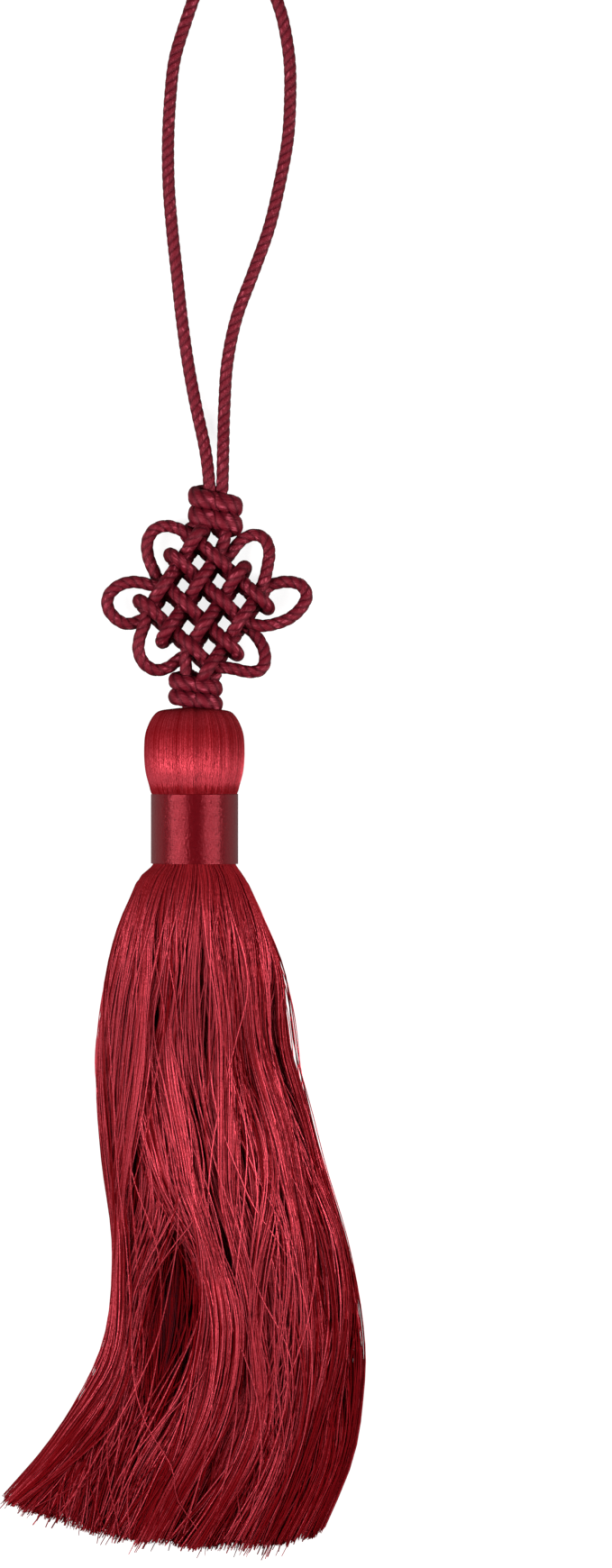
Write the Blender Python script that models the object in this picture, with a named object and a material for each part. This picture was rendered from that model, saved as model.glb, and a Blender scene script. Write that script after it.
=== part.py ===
"""A silk tassel on a knotted cord, lying flat on a surface.

Metres, +Z up.  The tassel lies along Y, its hanging loop towards +Y and its skirt towards -Y.
The origin is on the surface, under the middle of the round head.
"""
import math
import random
from typing import NamedTuple

import bmesh
import bpy
from mathutils import Vector

MM = 0.001
GAP = 0.3 * MM                      # left between two pieces that touch

# --- cord -------------------------------------------------------------------------------------
CORD_DIAMETER = 2.5 * MM
LOOP_STEP = 3.75 * MM               # between two points of the loop's tube
CORD_LIFT = 0.05 * MM               # of the loop's underside over the surface

# --- head and neck, turned round an axis along Y ---------------------------------------------
HEAD_AXIS_Z = 9.95 * MM             # lower than the head's radius, so its underside is pressed flat
NECK_RADIUS = 7.6 * MM
HEAD_SEGMENTS = 36                  # one corner lies at the very bottom
NECK_END_Y = -24.1 * MM             # where the strands leave the neck
BAND_TOP_Y = -9.4 * MM
BAND_END_Y = -23.8 * MM
BAND_RADIUS = 8.95 * MM
BAND_THICKNESS = BAND_RADIUS - NECK_RADIUS - GAP
BAND_ROUNDING = 0.35 * MM
BAND_SEGMENTS = 48


class Turn(NamedTuple):
    """One ring of the head's profile, in millimetres."""
    y: float
    radius: float


HEAD_PROFILE = (
    Turn(7.9, 4.6), Turn(7.5, 7.2), Turn(6.6, 8.4), Turn(4.9, 9.4), Turn(2.6, 10.15),
    Turn(-0.4, 10.35), Turn(-3.3, 10.25), Turn(-5.4, 9.95), Turn(-7.6, 9.35), Turn(-9.1, 8.95),
)

# --- skirt ------------------------------------------------------------------------------------
LOCK_COUNTS = (30, 30, 30, 32, 34)  # locks in each layer, from the underside up
ROOT_RADIUS = 7.4 * MM              # of the round patch that the locks grow from
LOCK_STATIONS = (0.04, 0.12, 0.27, 0.44, 0.6, 0.74, 0.87, 1.0)   # shares of a lock's length
SETTLED_SHARE = 0.3                 # of the length, by which the skirt has sunk to the surface
EDGE_HEIGHT = 0.3                   # of the middle height, at the skirt's two edges
LOCK_FILL_ROOT = 0.8                # a lock's width over its share of the skirt
LOCK_FILL_BODY = 0.9
LOCK_FILL_TIP = 0.7
LOCK_SHORTEST = 0.96                # the ragged cut, as shares of the full length
LOCK_LONGEST = 1.015
LOCK_SEED = 11
LOCK_CORNERS = ((-1, -1), (1, -1), (0, 1))   # a three-sided lock, its flat side down


class Wave(NamedTuple):
    """A sideways drift that gathers the locks into hanks and parts them."""
    amplitude: float                # as a share of the skirt's half width
    crests: float                   # from edge to edge
    turn: float                     # in radians, at the middle


SKIRT_WAVES = (Wave(0.040, 2.4, 0.8), Wave(0.018, 5.3, 2.4))
WAVE_SWING = 3.0                    # radians that a wave moves on from root to tip


class Valley(NamedTuple):
    """A soft hollow in the top of the skirt, between two heavier hanks of thread."""
    across: float                   # -1 at the skirt's left edge, 1 at its right
    share: float                    # of the skirt's length
    half_width: float
    half_length: float
    depth: float                    # of the height there


SKIRT_VALLEYS = (
    Valley(-0.32, 0.24, 0.10, 0.14, 0.16),
    Valley(0.14, 0.22, 0.09, 0.12, 0.14),
    Valley(0.52, 0.34, 0.10, 0.16, 0.12),
    Valley(-0.22, 0.68, 0.20, 0.16, 0.24),
    Valley(0.35, 0.78, 0.12, 0.18, 0.14),
    Valley(-0.66, 0.60, 0.10, 0.20, 0.12),
)


class Section(NamedTuple):
    """One cross-section of the skirt, in millimetres, at a share of its length."""
    share: float
    left: tuple
    middle: tuple
    right: tuple
    height: float


SKIRT_SECTIONS = (
    Section(0.00, (-7.4, -24.1), (0.0, -24.1), (7.4, -24.1), 15.2),
    Section(0.05, (-13.5, -30.7), (-0.4, -31.4), (12.4, -30.7), 15.4),
    Section(0.15, (-18.3, -45.0), (-0.9, -47.2), (18.7, -45.0), 14.6),
    Section(0.29, (-20.7, -65.1), (-0.6, -66.6), (22.2, -65.1), 13.2),
    Section(0.43, (-19.2, -84.0), (1.9, -87.0), (26.3, -84.0), 12.4),
    Section(0.57, (-16.5, -102.5), (4.4, -105.5), (31.6, -102.5), 11.4),
    Section(0.68, (-17.6, -118.0), (5.0, -122.1), (33.9, -118.0), 10.4),
    Section(0.81, (-23.7, -133.2), (1.1, -138.8), (33.5, -133.2), 9.2),
    Section(0.92, (-32.6, -147.1), (-7.6, -152.6), (30.7, -148.0), 8.2),
    Section(1.00, (-39.0, -155.0), (-14.1, -162.2), (25.2, -161.3), 7.2),
)

# --- knotted cord -----------------------------------------------------------------------------
KNOT_CORD_DIAMETER = 2.1 * MM       # of the solid, so that crossing runs stay a gap apart
KNOT_STEP = 2.2 * MM                # between two rings of a strand's tube
LAYER = 2.55 * MM                   # height from one layer of cord to the next
RUNS_EACH_WAY = 4
FIRST_CROSSING = Vector((0.2, 42.5, 0.0)) * MM
ALONG_ROWS = Vector((4.24, -3.92, 0.0)) * MM      # from one crossing to the next in a row
ALONG_COLUMNS = Vector((-3.15, -4.77, 0.0)) * MM  # from one crossing to the next in a column
RUN_SPREAD = 0.45 * MM              # a front run lies this far to one side, its back run to the other
BEND_REACH = 3.1 * MM               # of a run's end bend past the last crossing
BEND_SQUARENESS = 0.8               # under 1 rounds the bend out towards a square
BEND_STEPS = 5

KNOT_HIGH_Y = 8.2 * MM              # the knot's lower end, at the head
KNOT_HIGH_Z = 9.9 * MM
KNOT_LOW_Y = 53.0 * MM              # its upper end, at the loop
KNOT_LOW_Z = 3.9 * MM

EARS = {                            # route of each ear's middle line, in millimetres
    "upper_left": ((-1.7, 44.2), (-3.7, 45.2), (-6.1, 45.7), (-8.5, 44.8), (-9.8, 42.4),
                   (-9.6, 39.4), (-8.5, 36.6)),
    "upper_right": ((6.8, 39.4), (8.3, 41.4), (10.0, 43.1), (12.4, 43.9), (14.4, 42.9),
                    (15.3, 40.5), (15.0, 37.6), (14.2, 34.2)),
    "right": ((15.0, 33.1), (16.8, 33.9), (19.2, 34.2), (21.8, 33.5), (23.0, 31.3),
              (21.8, 28.7), (19.4, 26.6), (16.3, 25.4), (13.3, 25.1)),
    "lower_right": ((11.5, 24.2), (13.0, 22.5), (14.2, 20.2), (14.4, 17.6), (13.3, 15.9),
                    (10.9, 15.6), (8.1, 16.2), (5.9, 16.5)),
    "left": ((-8.3, 33.3), (-10.7, 33.9), (-13.1, 34.1), (-15.7, 33.3), (-17.7, 31.3),
             (-17.8, 28.7), (-16.1, 26.5), (-13.9, 25.5), (-11.5, 26.1)),
    "lower_left": ((-10.2, 25.5), (-11.2, 22.8), (-11.5, 20.0), (-10.4, 17.4), (-8.1, 16.0),
                   (-5.5, 16.5), (-3.1, 18.3)),
}
ENTRY_RIGHT = ((5.9, 47.5), (6.3, 44.8), (5.9, 42.2))         # out of the upper small knot
ENTRY_LEFT = ((1.9, 46.9), (-0.6, 45.5), (-1.9, 44.2), (-1.3, 43.1))
EXIT_RIGHT = ((4.4, 15.2), (3.1, 13.5), (2.6, 11.6))          # into the lower small knot
EXIT_LEFT = ((-1.8, 17.8), (-1.6, 14.4), (-1.6, 11.6))


class SmallKnot(NamedTuple):
    """A double connection knot: two turns of cord round the pair, in millimetres."""
    x: float
    bottom: float
    top: float
    half_width: float
    half_depth: float
    slant: float


UPPER_KNOT = SmallKnot(x=4.2, bottom=45.0, top=52.7, half_width=5.7, half_depth=3.6, slant=-0.12)
LOWER_KNOT = SmallKnot(x=0.2, bottom=8.2, top=14.6, half_width=5.6, half_depth=3.6, slant=-0.08)
SMALL_KNOT_TURNS = 2
SMALL_KNOT_RINGS = 12
SMALL_KNOT_SEGMENTS = 16
GROOVE_DEPTH = 0.2                  # between two turns, as a share of the knot's half width

LOOP_ROUTE = (                      # the hanging loop's middle line on the surface, in millimetres
    (3.0, 53.0), (2.7, 57.0), (1.9, 62.5), (0.2, 70.3), (-1.5, 79.5), (-2.8, 88.8), (-3.8, 98.0),
    (-4.8, 107.3), (-5.5, 116.5), (-5.6, 125.8), (-5.1, 135.1), (-4.2, 142.4), (-2.0, 149.8),
    (0.6, 157.2), (3.7, 164.3), (7.8, 168.0), (12.0, 166.1), (14.8, 160.0), (16.8, 154.5),
    (18.2, 149.8), (19.4, 142.4), (19.6, 135.1), (19.1, 125.8), (17.4, 116.5), (15.2, 107.3),
    (11.9, 98.0), (8.5, 88.8), (6.6, 79.5), (6.0, 70.3), (5.8, 62.5), (5.7, 57.0), (5.6, 53.0),
)
LOOP_LANDED_Y = 76.0 * MM           # by here the loop's two runs have come down to the surface

CURVE_SAMPLES = 24                  # between two route points, before a curve is stepped evenly


def clear_scene():
    """Remove every object of the file."""
    for thing in list(bpy.data.objects):
        bpy.data.objects.remove(thing, do_unlink=True)


def silk(name, colour, roughness):
    """A plain thread material of one colour."""
    material = bpy.data.materials.new(name)
    material.use_nodes = True
    shader = material.node_tree.nodes["Principled BSDF"]
    shader.inputs["Base Color"].default_value = (*colour, 1.0)
    shader.inputs["Roughness"].default_value = roughness
    shader.inputs["Metallic"].default_value = 0.0
    return material


def smoothstep(value):
    """Ease a share from 0 to 1."""
    share = min(max(value, 0.0), 1.0)
    return share * share * (3.0 - 2.0 * share)


def catmull_rom(before, start, end, after, t):
    """A number or vector at share t between start and end, on a curve through all four."""
    return 0.5 * (2.0 * start + (end - before) * t
                  + (2.0 * before - 5.0 * start + 4.0 * end - after) * t * t
                  + (3.0 * start - before - 3.0 * end + after) * t ** 3)


def smooth_route(points, step):
    """Evenly stepped points along the smooth curve through the route's own points."""
    ends = [2.0 * points[0] - points[1], *points, 2.0 * points[-1] - points[-2]]
    dense = [catmull_rom(*ends[index:index + 4], sample / CURVE_SAMPLES)
             for index in range(len(points) - 1) for sample in range(CURVE_SAMPLES)]
    dense.append(points[-1])
    reach = [0.0]
    for near, far in zip(dense, dense[1:]):
        reach.append(reach[-1] + (far - near).length)
    count = max(2, round(reach[-1] / step))
    stepped, index = [], 0
    for number in range(count + 1):
        target = reach[-1] * number / count
        while index < len(dense) - 2 and reach[index + 1] < target:
            index += 1
        span = reach[index + 1] - reach[index]
        share = (target - reach[index]) / span if span else 0.0
        stepped.append(dense[index].lerp(dense[index + 1], min(share, 1.0)))
    return stepped


def tube(name, points, diameter, material):
    """A cord: an eight-sided tube with closed ends along the points."""
    curve = bpy.data.curves.new(name, "CURVE")
    curve.dimensions = "3D"
    curve.bevel_depth = diameter / 2
    curve.bevel_resolution = 2
    curve.use_fill_caps = True
    curve.materials.append(material)
    spline = curve.splines.new("POLY")
    spline.points.add(len(points) - 1)
    for slot, point in zip(spline.points, points):
        slot.co = (*point, 1.0)
    thing = bpy.data.objects.new(name, curve)
    bpy.context.collection.objects.link(thing)
    return thing


def as_mesh(thing):
    """Turn a curve object into a mesh object of the same name."""
    name = thing.name
    evaluated = thing.evaluated_get(bpy.context.evaluated_depsgraph_get())
    mesh = bpy.data.meshes.new_from_object(evaluated)
    bpy.data.objects.remove(thing, do_unlink=True)
    solid = bpy.data.objects.new(name, mesh)
    bpy.context.collection.objects.link(solid)
    return solid


def mesh_object(name, bm, material):
    """Close a bmesh into a smooth-shaded object with its faces pointing out."""
    bmesh.ops.recalc_face_normals(bm, faces=bm.faces)
    mesh = bpy.data.meshes.new(name)
    bm.to_mesh(mesh)
    bm.free()
    mesh.materials.append(material)
    mesh.shade_smooth()
    mesh.set_sharp_from_angle(angle=math.radians(50))
    thing = bpy.data.objects.new(name, mesh)
    bpy.context.collection.objects.link(thing)
    return thing


def ring(bm, points):
    """Add one ring of vertices."""
    return [bm.verts.new(point) for point in points]


def bridge(bm, first, second):
    """Join two rings of the same number of vertices with quads."""
    count = len(first)
    for index in range(count):
        after = (index + 1) % count
        bm.faces.new((first[index], first[after], second[after], second[index]))


# --- hanging loop -----------------------------------------------------------------------------
def loop_height(y):
    """Height of the loop's middle line: down from the knot to the surface, then along it."""
    resting = CORD_DIAMETER / 2 + CORD_LIFT
    share = (y - KNOT_LOW_Y) / (LOOP_LANDED_Y - KNOT_LOW_Y)
    return KNOT_LOW_Z + (resting - KNOT_LOW_Z) * smoothstep(share)


def hanging_loop(material):
    """The free loop of cord, from one side of the upper small knot round to the other."""
    route = [Vector((x * MM, y * MM, loop_height(y * MM))) for x, y in LOOP_ROUTE]
    return tube("hanging_loop", smooth_route(route, LOOP_STEP), CORD_DIAMETER, material)


# --- knotted cord -----------------------------------------------------------------------------
def knot_height(y):
    """Height of the knot's middle plane, which leans from the head down to the surface."""
    share = (y - KNOT_HIGH_Y) / (KNOT_LOW_Y - KNOT_HIGH_Y)
    return KNOT_HIGH_Z + (KNOT_LOW_Z - KNOT_HIGH_Z) * share


def crossing(column, row):
    """Where a column and a row of the pan chang cross, counted from 1."""
    return FIRST_CROSSING + (column - 1) * ALONG_ROWS + (row - 1) * ALONG_COLUMNS


def depth_at(column, row, is_column):
    """Distance of a run's front or back strand from the knot's middle plane at a crossing."""
    column_outside = (column + row) % 2 == 0
    outside = column_outside if is_column else not column_outside
    return 1.5 * LAYER if outside else 0.5 * LAYER


def there_and_back(is_column, number, start_last, front_first):
    """One run: over its four crossings, round the last one and back on the other face.

    start_last tells that the run starts at crossing 4 instead of 1, and front_first that the
    first pass lies on the knot's front.
    """
    order = list(range(1, RUNS_EACH_WAY + 1))
    if start_last:
        order.reverse()
    along = (ALONG_COLUMNS if is_column else ALONG_ROWS).normalized()
    onward = -along if start_last else along
    aside = (ALONG_ROWS if is_column else ALONG_COLUMNS).normalized()
    face = 1.0 if front_first else -1.0

    def strand(step, side):
        column, row = (number, step) if is_column else (step, number)
        place = crossing(column, row) - side * RUN_SPREAD * aside
        return place + Vector((0, 0, side * depth_at(column, row, is_column)))

    out = [strand(step, face) for step in order]
    back = [strand(step, -face) for step in reversed(order)]
    middle = out[-1].lerp(back[0], 0.5)
    half = out[-1] - middle
    bend = []
    for step in range(1, BEND_STEPS):
        angle = math.pi * step / BEND_STEPS
        reach = BEND_REACH * math.sin(angle) ** BEND_SQUARENESS
        turn = math.copysign(abs(math.cos(angle)) ** BEND_SQUARENESS, math.cos(angle))
        bend.append(middle + onward * reach + half * turn)
    return out + bend + back


def flat_route(points, start_depth, end_depth):
    """Points in millimetres along an ear or a lead, its depth eased from start to end."""
    count = len(points) + 1
    depths = [start_depth + (end_depth - start_depth) * smoothstep(step / count)
              for step in range(1, count)]
    return [Vector((x * MM, y * MM, depth)) for (x, y), depth in zip(points, depths)]


def right_strand():
    """The cord's right half: columns 2 and 4, then rows 2 and 4."""
    near = 0.5 * LAYER
    return [
        *flat_route(ENTRY_RIGHT, 0.0, near),
        *there_and_back(True, 2, start_last=False, front_first=True),
        *flat_route(EARS["upper_right"], -near, near),
        *there_and_back(True, 4, start_last=False, front_first=True),
        *flat_route(EARS["right"], -near, near),
        *there_and_back(False, 2, start_last=True, front_first=True),
        *flat_route(EARS["lower_right"], -near, near),
        *there_and_back(False, 4, start_last=True, front_first=True),
        *flat_route(EXIT_RIGHT, -near, 0.0),
    ]


def left_strand():
    """The cord's left half: rows 1 and 3, then columns 1 and 3."""
    near = 0.5 * LAYER
    return [
        *flat_route(ENTRY_LEFT, 0.0, -near),
        *there_and_back(False, 1, start_last=False, front_first=False),
        *flat_route(EARS["upper_left"], near, -near),
        *there_and_back(False, 3, start_last=False, front_first=False),
        *flat_route(EARS["left"], near, -near),
        *there_and_back(True, 1, start_last=True, front_first=False),
        *flat_route(EARS["lower_left"], near, -near),
        *there_and_back(True, 3, start_last=True, front_first=False),
        *flat_route(EXIT_LEFT, near, 0.0),
    ]


def lean(points):
    """Set points given from the knot's middle plane at that plane's real height."""
    return [Vector((point.x, point.y, point.z + knot_height(point.y))) for point in points]


def small_knot(name, sizes, material):
    """A double connection knot as one ridged oval, a ridge for each turn of the cord."""
    bm = bmesh.new()
    rings = []
    length = sizes.top - sizes.bottom
    for number in range(SMALL_KNOT_RINGS + 1):
        share = number / SMALL_KNOT_RINGS
        ridge = math.sqrt(abs(math.sin(SMALL_KNOT_TURNS * math.pi * share)))
        width = sizes.half_width * (1.0 - GROOVE_DEPTH * (1.0 - ridge))
        depth = sizes.half_depth - sizes.half_width * GROOVE_DEPTH * (1.0 - ridge)
        points = []
        for segment in range(SMALL_KNOT_SEGMENTS):
            angle = 2 * math.pi * segment / SMALL_KNOT_SEGMENTS
            aside = width * math.cos(angle)
            y = sizes.bottom + length * share
            y += sizes.slant * aside * math.sin(math.pi * share)
            points.append(Vector((sizes.x + aside, y, depth * math.sin(angle))) * MM)
        rings.append(ring(bm, lean(points)))
    for lower, upper in zip(rings, rings[1:]):
        bridge(bm, lower, upper)
    bm.faces.new(rings[0])
    bm.faces.new(rings[-1])
    return mesh_object(name, bm, material)


def knotted_cord(material):
    """Both strands of the pan chang, joined to the two small knots that hold them."""
    knot = as_mesh(tube("pan_chang_knot", smooth_route(lean(right_strand()), KNOT_STEP),
                        KNOT_CORD_DIAMETER, material))
    left = as_mesh(tube("left_strand", smooth_route(lean(left_strand()), KNOT_STEP),
                        KNOT_CORD_DIAMETER, material))
    upper = small_knot("upper_knot", UPPER_KNOT, material)
    lower = small_knot("lower_knot", LOWER_KNOT, material)
    for piece in (upper, lower, left):
        piece.hide_render = True
        piece.display_type = "WIRE"
        union = knot.modifiers.new(f"join_{piece.name}", "BOOLEAN")
        union.operation = "UNION"
        union.solver = "EXACT"
        union.use_self = True
        union.object = piece
    return knot


# --- tassel -----------------------------------------------------------------------------------
def skirt_section(share):
    """The skirt's left, middle and right points and its height at a share of its length."""
    rows = SKIRT_SECTIONS
    index = max(number for number in range(len(rows) - 1) if rows[number].share <= share
                or number == 0)
    near, far = rows[index], rows[index + 1]
    before = rows[max(index - 1, 0)]
    after = rows[min(index + 2, len(rows) - 1)]
    t = (share - near.share) / (far.share - near.share)

    def blend(read):
        return catmull_rom(*(read(row) for row in (before, near, far, after)), t)

    sides = [blend(lambda row, side=side: Vector(getattr(row, side)))
             for side in ("left", "middle", "right")]
    return (*sides, blend(lambda row: row.height))


def skirt_point(across, upright, share):
    """Where a thread of the bundle lies, at a share of the skirt's length.

    across runs from -1 at the left edge to 1 at the right, and upright from -1 at the
    underside to 1 at the top.  The bundle is round at the neck, and it flattens into
    a low arched section with its underside on the surface.
    """
    left, middle, right, height = skirt_section(share)
    chord = math.sqrt(max(1 - across * across, 0.0))
    held = HEAD_AXIS_Z + ROOT_RADIUS * chord * upright
    drift = sum(wave.amplitude * math.sin(math.pi * wave.crests * across + wave.turn
                                          + WAVE_SWING * share) for wave in SKIRT_WAVES)
    across += drift * share * chord * chord
    place = (left * (across * (across - 1) / 2) + middle * (1 - across * across)
             + right * (across * (across + 1) / 2))
    arch = height * (EDGE_HEIGHT + (1 - EDGE_HEIGHT) * math.sqrt(max(1 - across * across, 0.0)))
    for valley in SKIRT_VALLEYS:
        spread = ((across - valley.across) / valley.half_width) ** 2
        spread += ((share - valley.share) / valley.half_length) ** 2
        arch *= 1 - valley.depth * math.exp(-spread)
    lying = arch * MM * (upright + 1) / 2
    z = held + (lying - held) * smoothstep(share / SETTLED_SHARE)
    return Vector((place.x * MM, place.y * MM, z))


def lock_cells():
    """The middle and half size of each lock, across and upright in the bundle."""
    layers = len(LOCK_COUNTS)
    return [Vector(((2 * column + 1) / count - 1, (2 * layer + 1) / layers - 1, 1 / count, 1 / layers))
            for layer, count in enumerate(LOCK_COUNTS) for column in range(count)]


def lock_fill(share):
    """How much of its room a lock takes up, at a share of its length."""
    if share < 0.5:
        return LOCK_FILL_ROOT + (LOCK_FILL_BODY - LOCK_FILL_ROOT) * smoothstep(2 * share)
    return LOCK_FILL_BODY + (LOCK_FILL_TIP - LOCK_FILL_BODY) * smoothstep(2 * share - 1)


def lock_corner(cell, corner, wander, share):
    """One corner of a lock's section, wandering within the room that its fill leaves."""
    fill = lock_fill(share)
    across, upright = (
        cell[axis] + cell[axis + 2] * (corner[axis] * fill + (1 - fill) * wander[axis])
        for axis in (0, 1))
    return skirt_point(across, upright, share)


def grow_locks(bm, rim):
    """Close the neck's end round the roots, and draw each root out into a lock."""
    draws = random.Random(LOCK_SEED)
    cells = lock_cells()
    roots = [bm.faces.new(ring(bm, [lock_corner(cell, corner, (0, 0), 0) for corner in LOCK_CORNERS]))
             for cell in cells]
    edges = [bm.edges.get((first, second)) for first, second in zip(rim, rim[1:] + rim[:1])]
    edges += [edge for root in roots for edge in root.edges]
    bmesh.ops.triangle_fill(bm, use_beauty=True, edges=edges, normal=(0, -1, 0))
    for cell, root in zip(cells, roots):
        full = draws.uniform(LOCK_SHORTEST, LOCK_LONGEST)
        first, second = (draws.uniform(0, 2 * math.pi) for _ in range(2))
        tip = root
        for station in LOCK_STATIONS:
            tip = bmesh.ops.extrude_discrete_faces(bm, faces=[tip])["faces"][0]
            wander = (math.sin(first + 5 * station), math.sin(second + 4 * station))
            for vert, corner in zip(tip.verts, LOCK_CORNERS):
                vert.co = lock_corner(cell, corner, wander, station * full)


def tassel(material):
    """The bound head, its neck and the skirt of loose locks, fused at their roots."""
    bm = bmesh.new()
    profile = [*HEAD_PROFILE, Turn(-9.1, NECK_RADIUS / MM), Turn(NECK_END_Y / MM, NECK_RADIUS / MM)]
    rings = []
    for turn in profile:
        points = []
        for step in range(HEAD_SEGMENTS):
            angle = 2 * math.pi * step / HEAD_SEGMENTS
            z = HEAD_AXIS_Z + turn.radius * MM * math.sin(angle)
            points.append((turn.radius * MM * math.cos(angle), turn.y * MM, max(z, 0.0)))
        rings.append(ring(bm, points))
    for upper, lower in zip(rings, rings[1:]):
        bridge(bm, upper, lower)
    bm.faces.new(rings[0])
    grow_locks(bm, rings[-1])
    return mesh_object("tassel", bm, material)


def neck_band(material):
    """The satin winding: a ring round the neck with softly rounded rims."""
    bm = bmesh.new()
    inner = BAND_RADIUS - BAND_THICKNESS
    section = (
        (inner, BAND_TOP_Y), (BAND_RADIUS - BAND_ROUNDING, BAND_TOP_Y),
        (BAND_RADIUS, BAND_TOP_Y - BAND_ROUNDING), (BAND_RADIUS, BAND_END_Y + BAND_ROUNDING),
        (BAND_RADIUS - BAND_ROUNDING, BAND_END_Y), (inner, BAND_END_Y),
    )
    rings = []
    for radius, y in section:
        points = []
        for step in range(BAND_SEGMENTS):
            angle = 2 * math.pi * step / BAND_SEGMENTS
            points.append((radius * math.cos(angle), y, HEAD_AXIS_Z + radius * math.sin(angle)))
        rings.append(ring(bm, points))
    for near, far in zip(rings, rings[1:] + rings[:1]):
        bridge(bm, near, far)
    return mesh_object("neck_band", bm, material)


def main():
    """Build the whole tassel."""
    clear_scene()
    cord = silk("knotting_cord", (0.13, 0.006, 0.014), 0.6)
    thread = silk("silk_thread", (0.32, 0.012, 0.022), 0.42)
    satin = silk("satin_winding", (0.19, 0.009, 0.014), 0.3)
    hanging_loop(cord)
    knotted_cord(cord)
    tassel(thread)
    neck_band(satin)


main()
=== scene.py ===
"""The looks of a silk tassel on a knotted cord, lying flat on a pale studio floor.

Metres, +Z up.  The tassel lies along Y, its hanging loop towards +Y and its skirt towards -Y.
Cords are swept as twisted rope, and the skirt is several thousand separate threads.
"""
import logging
import math
from dataclasses import dataclass
from enum import Enum
from typing import ClassVar

import bpy
import numpy as np
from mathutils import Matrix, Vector

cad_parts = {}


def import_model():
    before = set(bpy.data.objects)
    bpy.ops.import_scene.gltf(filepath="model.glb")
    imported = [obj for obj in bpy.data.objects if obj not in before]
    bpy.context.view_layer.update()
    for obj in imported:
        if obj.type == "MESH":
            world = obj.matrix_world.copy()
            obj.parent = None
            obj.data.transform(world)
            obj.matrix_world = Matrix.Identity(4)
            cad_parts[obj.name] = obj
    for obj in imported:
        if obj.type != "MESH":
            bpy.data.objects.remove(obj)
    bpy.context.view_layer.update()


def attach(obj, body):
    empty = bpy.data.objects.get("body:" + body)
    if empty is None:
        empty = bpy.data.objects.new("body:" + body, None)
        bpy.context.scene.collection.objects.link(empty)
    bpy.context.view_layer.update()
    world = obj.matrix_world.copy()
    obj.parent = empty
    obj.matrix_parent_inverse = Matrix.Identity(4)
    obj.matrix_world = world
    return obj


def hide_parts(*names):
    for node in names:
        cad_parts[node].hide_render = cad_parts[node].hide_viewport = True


LOG = logging.getLogger("silk_tassel")
MM = 0.001
BODY = "root"

Array = np.ndarray
Point = tuple[float, float]
Route = tuple[Point, ...]
Colour = tuple[float, float, float]
Material = bpy.types.Material
Node = bpy.types.Node
Object = bpy.types.Object
Socket = bpy.types.NodeSocket


class Slot(Enum):
    """The record's material slots."""
    CORD = "knotting_cord"
    THREAD = "silk_thread"
    SATIN = "satin_winding"


class Part(Enum):
    """The frame's nodes."""
    LOOP = "hanging_loop"
    KNOT = "pan_chang_knot"
    TASSEL = "tassel"
    BAND = "neck_band"


class Face(Enum):
    """The side of the knot that a run of cord passes on first."""
    FRONT = 1.0
    BACK = -1.0


# --- curves and numbers -------------------------------------------------------------------------
def smoothstep(value: Array) -> Array:
    """Ease a share, which may lie outside 0 to 1, from 0 to 1."""
    share = np.clip(value, 0.0, 1.0)
    return share * share * (3.0 - 2.0 * share)


@dataclass(frozen=True)
class Ramp:
    """A smooth change along the threads."""
    amount: float
    start: float            # the share of the length where it starts
    length: float           # the share of the length that it takes

    def at(self, share: Array) -> Array:
        """How much of the change has come about at a share of the length."""
        return self.amount * smoothstep((share - self.start) / self.length)


def catmull_rom(before: Array, start: Array, end: Array, after: Array, t: Array) -> Array:
    """A point between start and end on a smooth curve through all four.

    Args:
        before: the point before start.
        start: the point at t 0.
        end: the point at t 1.
        after: the point after end.
        t: the share of the way from start to end.

    Returns:
        The point.
    """
    return 0.5 * (2.0 * start + (end - before) * t
                  + (2.0 * before - 5.0 * start + 4.0 * end - after) * t * t
                  + (3.0 * start - before - 3.0 * end + after) * t ** 3)


def smooth_route(points: Array, step: float, samples: int = 24) -> Array:
    """Evenly stepped points along the smooth curve through a route's own points.

    Args:
        points: the route's points, one row each.
        step: the distance from one point to the next.
        samples: points taken between two route points before the curve is stepped.

    Returns:
        The stepped points, one row each.
    """
    ends = np.vstack([2 * points[0] - points[1], points, 2 * points[-1] - points[-2]])
    shares = np.arange(samples)[:, None] / samples
    dense = np.vstack([catmull_rom(*ends[index:index + 4], shares)
                       for index in range(len(points) - 1)] + [points[-1:]])
    reach = np.concatenate([[0.0], np.cumsum(np.linalg.norm(np.diff(dense, axis=0), axis=1))])
    targets = np.linspace(0.0, reach[-1], max(3, round(reach[-1] / step) + 1))
    return np.column_stack([np.interp(targets, reach, dense[:, axis]) for axis in range(3)])


# --- objects ------------------------------------------------------------------------------------
def added(name: str, data: bpy.types.ID) -> Object:
    """Add an object that shows the data.

    Args:
        name: the object's name.
        data: its mesh, camera or light.

    Returns:
        The object.
    """
    item = bpy.data.objects.new(name, data)
    bpy.context.collection.objects.link(item)
    return item


def guide_lines(name: str, lines: list[Array], **values: list[Array]) -> Object:
    """Make an object that holds one open line of points for each guide.

    Args:
        name: the object's name.
        lines: each guide's points, one row each.
        values: named numbers that the points carry, one array for each guide.

    Returns:
        The object.
    """
    points = np.concatenate(lines)
    starts = np.cumsum([0] + [len(line) for line in lines])
    first = np.concatenate([np.arange(start, end - 1) for start, end in zip(starts, starts[1:])])
    mesh = bpy.data.meshes.new(name)
    mesh.vertices.add(len(points))
    mesh.vertices.foreach_set("co", points.astype(np.float32).ravel())
    mesh.edges.add(len(first))
    mesh.edges.foreach_set("vertices", np.column_stack([first, first + 1]).astype(np.int32).ravel())
    for key, arrays in values.items():
        attribute = mesh.attributes.new(key, "FLOAT", "POINT")
        attribute.data.foreach_set("value", np.concatenate(arrays).astype(np.float32))
    mesh.update()
    return added(name, mesh)


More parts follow.
